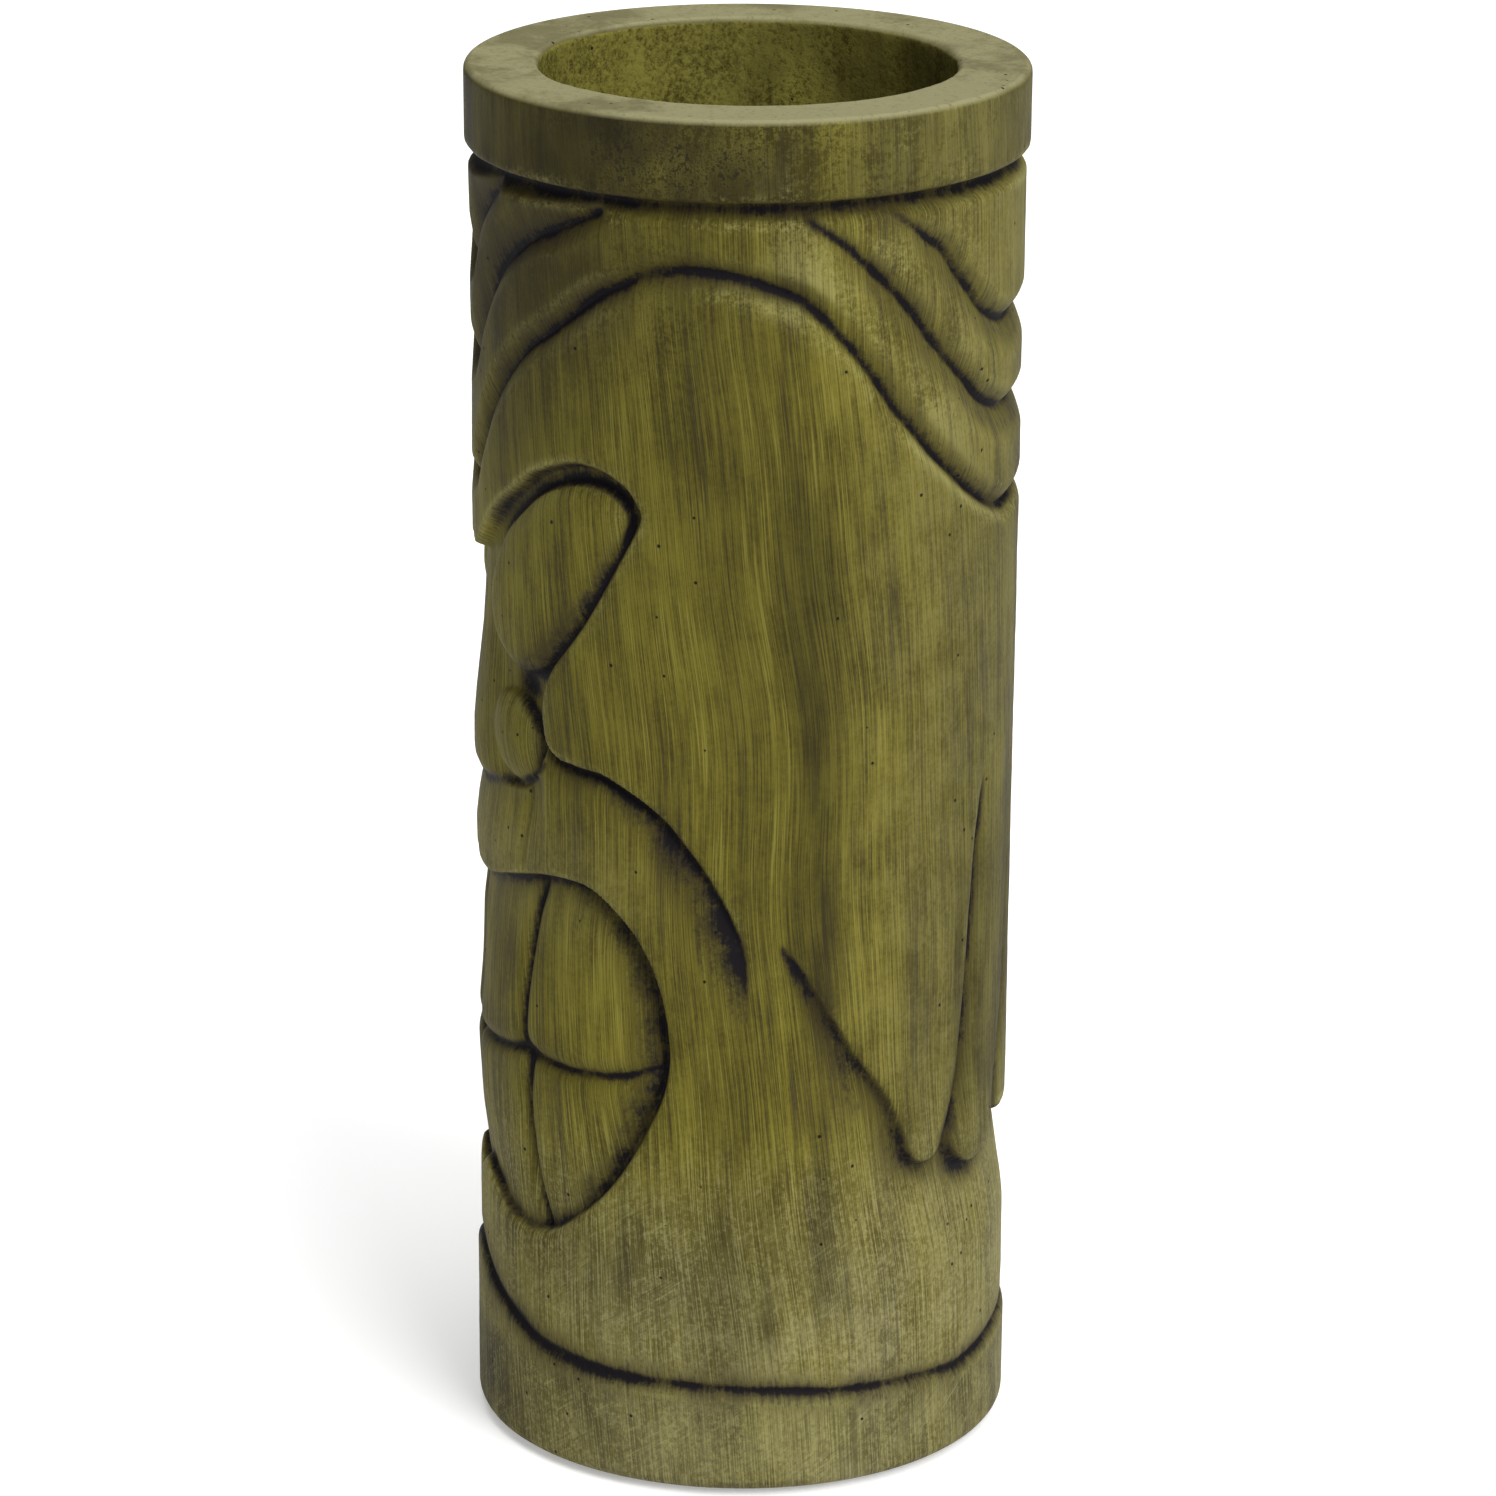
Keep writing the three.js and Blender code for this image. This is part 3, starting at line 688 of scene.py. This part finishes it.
def make_casting():
    wall_z = np.arange(FOOT + FOOT_ROUND, HEIGHT - RIM_ROUND, ROW_STEP)
    depth, wash_and_shade, wear = carved_maps(wall_z)
    inner, rim_rows, foot_rows = inner_profile()
    wall_rows, columns = depth.shape
    rows = wall_rows + len(inner)
    r = np.empty((rows, columns))
    z = np.empty((rows, columns))
    r[:wall_rows] = outside(wall_z)[:, None] - depth
    z[:wall_rows] = wall_z[:, None]
    r[wall_rows:] = inner[:, :1]
    z[wall_rows:] = inner[:, 1:]
    r[wall_rows:wall_rows + rim_rows] -= depth[-1] * np.linspace(1, 0, rim_rows)[:, None]
    r[-foot_rows:] -= depth[0] * np.linspace(0, 1, foot_rows)[:, None]
    roughen(r[wall_rows:], z[wall_rows:], inner, columns)

    bearing = np.arange(columns) * 2 * math.pi / columns
    points = np.stack((r * np.sin(bearing), -r * np.cos(bearing), z), -1)
    mesh = grid_mesh("casting", points)
    pad = np.zeros((len(inner), columns))
    maps = paint_maps(z, wall_rows, inner)
    # Painted shade: a soft halo round the grooves, from the blurred wash, added to the glaze.
    maps["glaze_and_shade"][:wall_rows] += 0.36 * np.clip(blur(wash_and_shade, 4.5, 4.5), 0, 1)    # a halo of the wash
    maps["wash_and_shade"] = np.vstack((wash_and_shade, pad))
    maps["wear"] = np.vstack((wear, pad))
    for name, values in maps.items():
        add_attribute(mesh, name, values)
    return add_piece("casting", mesh)


# ---- Meshes ----
def grid_mesh(name, points):
    """A closed loop of rows, each a closed ring of columns, as one mesh of quads."""
    rows, columns = points.shape[:2]
    i = np.arange(rows)[:, None]
    j = np.arange(columns)[None, :]
    below = i * columns
    above = (i + 1) % rows * columns
    after = (j + 1) % columns
    quads = np.stack((below + j, below + after, above + after, above + j), -1).reshape(-1, 4)
    mesh = bpy.data.meshes.new(name)
    mesh.vertices.add(rows * columns)
    mesh.vertices.foreach_set("co", (points * MM).astype(np.float32).ravel())
    mesh.loops.add(quads.size)
    mesh.loops.foreach_set("vertex_index", quads.astype(np.int32).ravel())
    mesh.polygons.add(len(quads))
    mesh.polygons.foreach_set("loop_start", np.arange(0, quads.size, 4, dtype=np.int32))
    mesh.update(calc_edges=True)
    mesh.shade_smooth()
    return mesh


def add_attribute(mesh, name, values):
    layer = mesh.attributes.new(name, "FLOAT", "POINT")
    layer.data.foreach_set("value", np.asarray(values, np.float32).ravel())


def add_piece(name, mesh):
    piece = bpy.data.objects.new(name, mesh)
    bpy.context.scene.collection.objects.link(piece)
    return piece


# ---- Materials ----
class Nodes:
    """Short names for building a material's node tree."""

    def __init__(self, name):
        self.material = bpy.data.materials.new(name)
        self.material.use_nodes = True
        self.tree = self.material.node_tree
        self.shader = self.tree.nodes["Principled BSDF"]

    def set(self, socket, value):
        if isinstance(value, bpy.types.NodeSocket):
            self.tree.links.new(value, socket)
        elif isinstance(value, tuple) and len(value) == 3 and socket.type == "RGBA":
            socket.default_value = (*value, 1)
        else:
            socket.default_value = value

    def node(self, kind, inputs=(), **settings):
        node = self.tree.nodes.new("ShaderNode" + kind)
        for key, value in settings.items():
            setattr(node, key, value)
        for key, value in dict(inputs).items():
            self.set(node.inputs[key], value)
        return node

    def math(self, operation, a, b):
        return self.node("Math", {0: a, 1: b}, operation=operation).outputs[0]

    def add(self, a, b):
        return self.math("ADD", a, b)

    def times(self, a, b):
        return self.math("MULTIPLY", a, b)

    def total(self, first, *rest):
        for value in rest:
            first = self.add(first, value)
        return first

    def blend(self, *parts):
        """Sum of (value, share) pairs."""
        return self.total(*(self.times(value, share) for value, share in parts))

    def swing(self, noise, gain):
        """A noise's distance from its middle, times a gain."""
        return self.times(self.add(noise, -0.5), gain)

    def without(self, value):
        return self.math("SUBTRACT", 1.0, value)

    def clamp(self, a):
        return self.node("Clamp", {"Value": a}).outputs[0]

    def remap(self, value, low, high, to_low=0.0, to_high=1.0):
        """Smooth step from low to high."""
        return self.node("MapRange", {
            "Value": value, "From Min": low, "From Max": high, "To Min": to_low, "To Max": to_high,
        }, interpolation_type="SMOOTHSTEP").outputs[0]

    def mix(self, factor, a, b):
        node = self.node("Mix", data_type="RGBA")
        for name, value in (("Factor_Float", factor), ("A_Color", a), ("B_Color", b)):
            self.set(next(s for s in node.inputs if s.identifier == name), value)
        return next(s for s in node.outputs if s.identifier == "Result_Color")

    def attribute(self, name):
        return self.node("Attribute", attribute_name=name).outputs["Fac"]

    def noise(self, vector, scale, detail=3.0, roughness=0.55, distortion=0.0):
        return self.node("TexNoise", {
            "Vector": vector, "Scale": scale, "Detail": detail, "Roughness": roughness,
            "Distortion": distortion,
        }).outputs["Fac"]

    def stretch(self, vector, scale):
        return self.node("VectorMath", {0: vector, 1: scale}, operation="MULTIPLY").outputs[0]

    def surface(self, inputs):
        for name, value in inputs.items():
            self.set(self.shader.inputs[name], value)

    def finish(self, colour, roughness, height):
        """Height is in millimetres."""
        bump = self.node("Bump", {"Height": height, "Distance": MM, "Strength": 1.0}).outputs[0]
        self.surface({"Base Color": colour, "Roughness": roughness, "Normal": bump})
        return self.material


# ---- The paint on the cement ----
# Colours, from the layer on the cement outwards.
BARE_CEMENT = (0.33, 0.32, 0.28)
CEMENT_SHADE = (0.17, 0.165, 0.14)
OLIVE_DARK = (0.053, 0.043, 0.008)
OLIVE_LIGHT = (0.178, 0.155, 0.021)
HAIRLINE = (0.27, 0.25, 0.055)
# Painted light: brighter than the wall's olive, for the little light that reaches the bore.
BORE_OLIVE_PAINTED_LIGHT = (0.26, 0.235, 0.045)
STIPPLE_LIGHT = (0.25, 0.225, 0.046)
STREAK_BROWN = (0.055, 0.044, 0.023)
# Grey dust, with a painted sheen where the light grazes the wall.
DUST_AND_SHEEN_DARK = (0.180, 0.160, 0.075)
DUST_AND_SHEEN = (0.320, 0.295, 0.160)
# Dark glaze and dark smears, also used as painted shade.
DARK_BROWN = (0.020, 0.016, 0.006)
STROKE_LIGHT = (0.310, 0.285, 0.125)
SCUFF_LIGHT = (0.30, 0.28, 0.10)
RIM_KHAKI = (0.255, 0.240, 0.126)
RIM_DIRT = (0.095, 0.086, 0.036)
# Rubbed paint, also used as a painted highlight on crests.
WORN_AND_HIGHLIGHT = (0.27, 0.25, 0.085)
# Wash, also used for painted shade and shadow.
WASH_AND_SHADE_BROWN = (0.042, 0.032, 0.012)
NEAR_BLACK = (0.0070, 0.0060, 0.0085)

# Marks: noise cycles per metre, detail, roughness, and how far the height is squashed, which draws
# the marks out into lines up the wall.
BRISTLES = (1900.0, 2.0, 0.6, 0.0125)
STROKES = (850.0, 3.0, 0.7, 0.018)
FINE = (3400.0, 1.0, 0.5, 0.007)
BANDS = (60.0, 4.0, 0.6, 0.13)
MOTTLE = (60.0, 6.0, 0.65, 1.0)
BLOTCH = (17.0, 3.0, 0.5, 1.0)
SPECKLE = (480.0, 4.0, 0.8, 1.0)
SMUDGE = (55.0, 5.0, 0.65, 0.45)
SCUFFS = (600.0, 4.0, 0.7, 0.17)
WANDER = (5.0, 1.0, 0.55, 1.0)

BRUSH_LEAN = 0.7              # turn of the brush lines round the axis, radians per metre of height
BRUSH_WANDER = 0.3
SCUFF_LEAN = -13.0
LOW_PART = (0.165, 0.120)     # below these heights in metres the foot and chin are brushed lighter
SCUFF_TOP = (0.150, 0.118)
SCUFF_FOOT = (0.004, 0.012)
HOLE_CELLS = 210.0            # cells per metre, each with one chance of an air hole
HOLE_EDGE = (0.17, 0.11)      # radius of a hole in cells, outside and inside its soft edge
UNDERSIDE = ((FOOT + 1.6) * MM, (FOOT + 0.2) * MM)    # the paint gives way to bare cement here


def marks(n, place, kind):
    scale, detail, roughness, squash = kind
    if squash != 1.0:
        place = n.stretch(place, (1, 1, squash))
    return n.noise(place, scale, detail, roughness)


def leaning(n, place, angle):
    """The place turned round the axis, so that lines up the wall lean."""
    return n.node("VectorRotate", {"Vector": place, "Angle": angle}, rotation_type="Z_AXIS").outputs[0]


def on_round_wall(n, place):
    """The place moved straight out to the wall's radius, so that relief doesn't bend the marks."""
    radius = CARVING_RADIUS * MM
    outward = n.node("VectorMath", {0: n.stretch(place, (1, 1, 0))}, operation="NORMALIZE").outputs[0]
    outward = n.stretch(outward, (radius, radius, 0))
    return n.node("VectorMath", {0: outward, 1: n.stretch(place, (0, 0, 1))}).outputs[0]


def painted_cement():
    """Olive paint brushed downwards over cement, glazed dark in the hollows and rubbed on edges, with
    painted shade, shadow, sheen and highlight in its colour and a bore painted brighter.
    """
    n = Nodes("painted_cement")
    place = n.node("TexCoord").outputs["Object"]
    z = n.node("SeparateXYZ", {0: place}).outputs[2]
    on_wall = on_round_wall(n, place)
    wander = marks(n, place, WANDER)
    brushed = leaning(n, on_wall, n.blend((z, BRUSH_LEAN), (wander, BRUSH_WANDER)))
    bristles, strokes, fine, bands = (marks(n, brushed, kind) for kind in (BRISTLES, STROKES, FINE, BANDS))
    mottle, blotch, speckle, smudge = (marks(n, place, kind) for kind in (MOTTLE, BLOTCH, SPECKLE, SMUDGE))
    scuffs = marks(n, leaning(n, on_wall, n.times(z, SCUFF_LEAN)), SCUFFS)
    lines = n.blend((bristles, 0.7), (strokes, 0.3))
    grain = n.blend((speckle, 0.65), (mottle, 0.35))
    wash_and_shade, wear, dirt_and_shade, glaze_and_shade, dust_and_sheen, pale, bore = (
        n.attribute(name) for name in ("wash_and_shade", "wear", "dirt_and_shade", "glaze_and_shade", "dust_and_sheen", "pale", "bore"))
    low = n.remap(z, *LOW_PART)

    # Two coats of olive, the lighter one missing where the brush left lines.
    cover = n.total(n.remap(lines, 0.31, 0.69, 0.12, 1.08), n.swing(bands, 1.3), n.swing(blotch, 1.0),
                    n.swing(mottle, 1.1), n.swing(speckle, 0.7), n.swing(fine, 0.6))
    paint = n.mix(n.clamp(cover), OLIVE_DARK, OLIVE_LIGHT)
    hairs = n.remap(n.add(bristles, n.swing(bands, 0.5)), 0.60, 0.72, 0.0, 0.5)
    paint = n.mix(n.times(hairs, n.remap(dust_and_sheen, 0.02, 0.18, 1.0, 0.45)), paint, HAIRLINE)

    # The rougher, dabbed paint of the bore, in an olive brightened as painted light where little light
    # reaches, and of the dirty parts, which also carry painted shade.
    dabbed = n.mix(n.remap(grain, 0.34, 0.60), OLIVE_DARK, BORE_OLIVE_PAINTED_LIGHT)
    paint = n.mix(bore, paint, dabbed)
    stippled = n.mix(n.remap(grain, 0.44, 0.56), OLIVE_DARK, STIPPLE_LIGHT)
    paint = n.mix(n.clamp(n.times(dirt_and_shade, 0.9)), paint, stippled)

    # Brown streaks, grey dust and painted sheen, black specks and smears.
    streaks = n.blend((strokes, 0.35), (bands, 0.45), (bristles, 0.2))
    streaks = n.times(n.remap(streaks, 0.49, 0.33, 0.0, 0.8), n.without(bore))
    paint = n.mix(streaks, paint, STREAK_BROWN)
    dust_and_sheen_colour = n.mix(n.remap(n.blend((strokes, 0.5), (speckle, 0.5)), 0.40, 0.60), DUST_AND_SHEEN_DARK, DUST_AND_SHEEN)
    paint = n.mix(n.times(dust_and_sheen, n.remap(mottle, 0.34, 0.62, 0.40, 1.0)), paint, dust_and_sheen_colour)
    specks = n.remap(n.add(n.blend((mottle, 0.35), (speckle, 0.65)), n.swing(blotch, 0.5)), 0.40, 0.56)
    specks = n.times(specks, n.clamp(n.blend((dirt_and_shade, 1.0), (bore, 0.15))))
    paint = n.mix(n.times(specks, 0.9), paint, NEAR_BLACK)
    smears = n.remap(n.add(smudge, n.swing(speckle, 0.4)), 0.46, 0.62)
    smears = n.times(smears, n.clamp(n.times(dirt_and_shade, 1.2)))
    paint = n.mix(n.clamp(n.times(smears, n.add(0.55, n.times(low, 0.55)))), paint, DARK_BROWN)

    # Dry strokes and crossing scuffs on the chin and the foot.
    dry = n.remap(n.blend((bristles, 0.5), (speckle, 0.5)), 0.48, 0.62, 0.0, 0.55)
    paint = n.mix(n.times(dry, low), paint, STROKE_LIGHT)
    scuffed = n.times(n.remap(z, *SCUFF_TOP), n.remap(z, *SCUFF_FOOT))
    scuffed = n.times(scuffed, n.times(n.remap(dirt_and_shade, 0.02, 0.28), n.remap(mottle, 0.40, 0.58, 0.0, 0.5)))
    paint = n.mix(n.times(n.remap(scuffs, 0.53, 0.70), scuffed), paint, SCUFF_LIGHT)
    paint = n.mix(n.times(n.remap(scuffs, 0.44, 0.34), scuffed), paint, OLIVE_DARK)
    # Dark glaze and painted shade, varied with the brush bands.
    paint = n.mix(n.clamp(n.times(glaze_and_shade, n.remap(bands, 0.30, 0.70, 1.15, 0.75))), paint, DARK_BROWN)

    # The pale top of the rim.
    stains = n.remap(n.blend((mottle, 0.5), (blotch, 0.5)), 0.47, 0.64, 0.0, 0.6)
    top = n.mix(stains, RIM_KHAKI, RIM_DIRT)
    top = n.mix(n.remap(speckle, 0.52, 0.70, 0.0, 0.5), top, RIM_DIRT)
    paint = n.mix(pale, paint, top)

    # Edges rubbed light, and a painted highlight on the crests of the swags at the back.
    rubbed_and_highlight = n.times(wear, n.remap(n.blend((speckle, 1.0), (blotch, 1.3)), 1.04, 1.40))
    rubbed_and_highlight = n.times(rubbed_and_highlight, n.remap(lines, 0.37, 0.57, 0.35, 1.0))
    paint = n.mix(n.clamp(n.times(rubbed_and_highlight, 0.9)), paint, WORN_AND_HIGHLIGHT)

    # The dark wash in the hollows, with painted shade and shadow: brown where it is thin, black where
    # it is thick.
    uneven = n.remap(n.blend((mottle, 0.7), (blotch, 0.3)), 0.37, 0.62, 0.42, 1.35)
    ragged = n.total(n.swing(speckle, 0.9), n.swing(strokes, 1.1), n.swing(bristles, 0.4))
    darkness = n.times(wash_and_shade, uneven)
    darkness = n.add(darkness, n.times(ragged, n.remap(darkness, 0.03, 0.3)))
    paint = n.mix(n.remap(darkness, 0.02, 0.50, 0.0, 0.65), paint, WASH_AND_SHADE_BROWN)
    paint = n.mix(n.remap(darkness, 0.16, 1.0, 0.0, 0.97), paint, NEAR_BLACK)

    # Air holes, more of them in some places.
    cell = n.node("TexVoronoi", {"Vector": place, "Scale": HOLE_CELLS}, feature="F1")
    chance = n.node("SeparateColor", {0: cell.outputs["Color"]}).outputs[0]
    is_hole = n.math("GREATER_THAN", chance, n.remap(blotch, 0.45, 0.64, 0.993, 0.88))
    hole = n.times(n.remap(cell.outputs["Distance"], *HOLE_EDGE), is_hole)
    paint = n.mix(n.times(hole, 0.92), paint, NEAR_BLACK)

    # The bare underside.
    bare = n.remap(z, *UNDERSIDE)
    cement = n.mix(n.remap(grain, 0.40, 0.60), CEMENT_SHADE, BARE_CEMENT)
    paint = n.mix(n.times(bare, n.remap(smudge, 0.38, 0.50, 0.75, 1.0)), paint, cement)

    rough = n.add(0.46, n.blend((bristles, 0.13), (mottle, 0.13)))
    unbrushed = n.math("MAXIMUM", bore, n.math("MAXIMUM", pale, bare))
    height = n.total(
        n.times(n.blend((bristles, 0.30), (strokes, 0.32)), n.without(unbrushed)),
        n.times(speckle, n.add(0.12, n.times(bare, 0.3))),
        n.times(n.times(bore, mottle), 1.2),
        n.times(hole, -0.8),
    )
    n.surface({"Specular IOR Level": 0.05})
    return n.finish(paint, rough, height)


cast = make_casting()
cast.data.materials.append(painted_cement())
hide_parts("cast_body")
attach(cast, "stand")


# ---- Bung and pads ----
def turned(name, corners, columns, wobble=None):
    """A closed solid of revolution; corners are [radius, height, rounding], from axis to axis."""
    rows = [(0.0, corners[0][1])]
    for before, (r, z, rounding), after in zip(corners, corners[1:-1], corners[2:]):
        here = np.array((r, z))
        back = np.array(before[:2]) - here
        ahead = np.array(after[:2]) - here
        reach = min(rounding, 0.45 * np.hypot(*back), 0.45 * np.hypot(*ahead))
        start = here + back / np.hypot(*back) * reach
        end = here + ahead / np.hypot(*ahead) * reach
        for t in np.linspace(0, 1, 5):
            rows.append(tuple((1 - t) ** 2 * start + 2 * t * (1 - t) * here + t * t * end))
    rows.append((0.0, corners[-1][1]))
    verts = [(0.0, 0.0, rows[0][1])]
    for r, z in rows[1:-1]:
        for j in range(columns):
            a = 2 * math.pi * j / columns
            reach = r + (wobble(a, z) if wobble else 0.0)
            verts.append((reach * math.cos(a), reach * math.sin(a), z))
    verts.append((0.0, 0.0, rows[-1][1]))
    faces = [(0, 1 + (j + 1) % columns, 1 + j) for j in range(columns)]
    for i in range(len(rows) - 3):
        for j in range(columns):
            k = (j + 1) % columns
            low = 1 + i * columns
            faces.append((low + j, low + k, low + columns + k, low + columns + j))
    last = len(verts) - 1
    ring = last - columns
    faces += [(last, ring + j, ring + (j + 1) % columns) for j in range(columns)]
    mesh = bpy.data.meshes.new(name)
    mesh.from_pydata([tuple(c * MM for c in v) for v in verts], [], faces)
    mesh.shade_smooth()
    return add_piece(name, mesh)


def bung_rubber():
    """Moulded rubber with fine pitting, a bloom of dust and scuffs."""
    n = Nodes("bung_rubber")
    place = n.node("TexCoord").outputs["Object"]
    pits = n.noise(place, 900.0, 4.0, 0.7)
    bloom = n.noise(place, 120.0, 5.0, 0.6)
    scuffs = n.noise(n.stretch(place, (1, 0.15, 1)), 700.0, 2.0, 0.6)
    colour = n.mix(n.remap(bloom, 0.42, 0.70, 0.0, 0.5), (0.012, 0.012, 0.012), (0.055, 0.052, 0.046))
    colour = n.mix(n.remap(scuffs, 0.60, 0.78, 0.0, 0.3), colour, (0.09, 0.088, 0.08))
    rough = n.remap(bloom, 0.35, 0.70, 0.50, 0.82)
    height = n.add(n.times(pits, 0.10), n.times(scuffs, 0.05))
    return n.finish(colour, rough, height)


def pad_felt():
    """Pressed brown felt: tangled fibres in three directions and a fuzzy sheen."""
    n = Nodes("pad_felt")
    place = n.node("TexCoord").outputs["Object"]
    fibres = n.noise(n.stretch(place, (1, 0.2, 1)), 2600.0, 2.0, 0.6, 1.5)
    crossing = n.noise(n.stretch(place, (0.2, 1, 1)), 2600.0, 2.0, 0.6, 1.5)
    flat = n.noise(n.stretch(place, (0.5, 0.5, 2)), 1800.0, 2.0, 0.6, 1.0)
    tangle = n.add(n.times(fibres, 0.4), n.add(n.times(crossing, 0.4), n.times(flat, 0.2)))
    wear = n.noise(place, 150.0, 4.0, 0.6)
    colour = n.mix(n.remap(tangle, 0.38, 0.64), (0.016, 0.013, 0.010), (0.075, 0.060, 0.045))
    colour = n.mix(n.remap(wear, 0.52, 0.72, 0.0, 0.4), colour, (0.12, 0.11, 0.095))
    n.surface({"Sheen Weight": 0.12, "Sheen Roughness": 0.5, "Specular IOR Level": 0.15})
    return n.finish(colour, n.remap(tangle, 0.3, 0.7, 0.85, 1.0), n.times(tangle, 0.5))


def make_bung():
    """Stopper with a moulded ring on its head, flutes round its grip and a slight taper."""
    STEM, HEAD_THICKNESS = 26.0, 4.0
    FLUTES, FLUTE_DEPTH = 12, 0.9
    low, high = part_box("drain_bung")
    foot = low.z / MM
    top = high.z / MM
    head = high.x / MM
    seat = foot + STEM
    rim = seat + HEAD_THICKNESS

    def flutes(angle, z):
        gripping = fade(z, rim + 4, rim + 8) * fade(z, top - 0.5, top - 3)
        return -FLUTE_DEPTH * gripping * (0.5 + 0.5 * math.cos(FLUTES * angle))

    bung = turned("bung", [
        (0, foot), (10.2, foot, 1.4), (11.9, foot + 8, 0.5), (12.2, foot + 17, 0.5),
        (12.6, seat, 0.4), (head - 1.4, seat, 0.8), (head, seat + 1.2, 1.0), (head, rim - 1.0, 1.0),
        (head - 1.4, rim, 0.8), (head - 3.0, rim, 0.4), (head - 3.8, rim - 0.9, 0.5),
        (head - 5.4, rim - 0.9, 0.5), (head - 6.2, rim, 0.4), (7.2, rim, 1.0), (6.1, rim + 4, 3.0),
        (6.3, top - 8, 3.0), (9.0, top - 4.4, 1.6), (9.0, top - 1.4, 1.4), (7.4, top, 1.0), (0, top),
    ], 96, flutes)
    bung.data.materials.append(bung_rubber())
    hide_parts("drain_bung")
    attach(bung, "bung")


def make_pads():
    """Die-cut felt discs with a soft, slightly furry edge."""
    COUNT = 4
    WAVES = (7, 19, 41)       # round the edge
    FUR, INSET = 0.09, 0.12
    material = pad_felt()
    draw = np.random.RandomState(21)
    for i in range(COUNT):
        node = f"foot_pad_{i + 1}"
        low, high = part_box(node)
        radius = (high.x - low.x) / 2 / MM
        height = (high.z - low.z) / MM
        phases = draw.uniform(0, 2 * math.pi, len(WAVES))

        def fur(angle, _):
            waves = (math.sin(k * angle + phase) for k, phase in zip(WAVES, phases))
            return FUR * sum(waves) / len(WAVES) - INSET

        pad = turned(f"pad_{i + 1}", [
            (0, 0), (radius - 0.35, 0, 0.3), (radius, 0.5 * height, 0.6), (radius - 0.25, height, 0.3),
            (0, height),
        ], 120, fur)
        pad.location = ((low.x + high.x) / 2, (low.y + high.y) / 2, low.z)
        pad.data.materials.append(material)
        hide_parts(node)
        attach(pad, "stand")


make_bung()
make_pads()


# ---- Floor, light and camera ----
def make_floor():
    REACH = 6.0
    corners = [(-REACH, -REACH, 0), (REACH, -REACH, 0), (REACH, REACH, 0), (-REACH, REACH, 0)]
    mesh = bpy.data.meshes.new("floor")
    mesh.from_pydata(corners, [], [(0, 1, 2, 3)])
    floor = bpy.data.objects.new("floor", mesh)
    bpy.context.scene.collection.objects.link(floor)
    white = Nodes("floor_white")
    white.surface({
        "Base Color": (0.85, 0.85, 0.85), "Roughness": 0.8,
        "Emission Color": (1.0, 1.0, 1.0), "Emission Strength": 0.3,
    })
    floor.data.materials.append(white.material)


def make_sun(name, bearing, elevation, spread, strength):
    """A soft distant light; bearing is in degrees round from the middle of the face."""
    data = bpy.data.lights.new(name, "SUN")
    data.energy = strength
    data.angle = math.radians(spread)
    light = bpy.data.objects.new(name, data)
    turn = math.radians(bearing)
    rise = math.radians(elevation)
    to_light = Vector((math.sin(turn) * math.cos(rise), -math.cos(turn) * math.cos(rise), math.sin(rise)))
    light.rotation_euler = to_light.to_track_quat("Z", "Y").to_euler()
    bpy.context.scene.collection.objects.link(light)


def make_world(strength):
    world = bpy.data.worlds.new("studio")
    world.use_nodes = True
    background = world.node_tree.nodes["Background"]
    background.inputs["Color"].default_value = (1, 1, 1, 1)
    background.inputs["Strength"].default_value = strength
    bpy.context.scene.world = world


def make_camera():
    """Looks at the head's left side from above, so the face is near the picture's left outline."""
    BEARING = math.radians(85)
    DISTANCE, RISE, SIDEWAYS = 2.4141, 1.0708, 0.0016
    PITCH, ROLL = math.radians(18.154), math.radians(0.341)
    SENSOR, LENS = 36.0, 152.48
    away = Vector((math.sin(BEARING), -math.cos(BEARING), 0))
    right = Vector((math.cos(BEARING), math.sin(BEARING), 0))
    data = bpy.data.cameras.new("camera")
    data.sensor_width = SENSOR
    data.lens = LENS
    camera = bpy.data.objects.new("camera", data)
    forward = -away * math.cos(PITCH) - Vector((0, 0, math.sin(PITCH)))
    up = right.cross(forward)
    turn = Matrix((right, up, -forward)).transposed()
    camera.matrix_world = Matrix.Translation(
        away * DISTANCE + right * SIDEWAYS + Vector((0, 0, RISE))
    ) @ turn.to_4x4() @ Matrix.Rotation(ROLL, 4, "Z")
    bpy.context.scene.collection.objects.link(camera)
    bpy.context.scene.camera = camera


make_floor()
make_camera()
make_world(strength=0.25)
make_sun("overhead", bearing=130, elevation=74, spread=60, strength=2.2)
make_sun("side", bearing=118, elevation=36, spread=30, strength=1.9)
bpy.context.scene.view_settings.view_transform = "Standard"
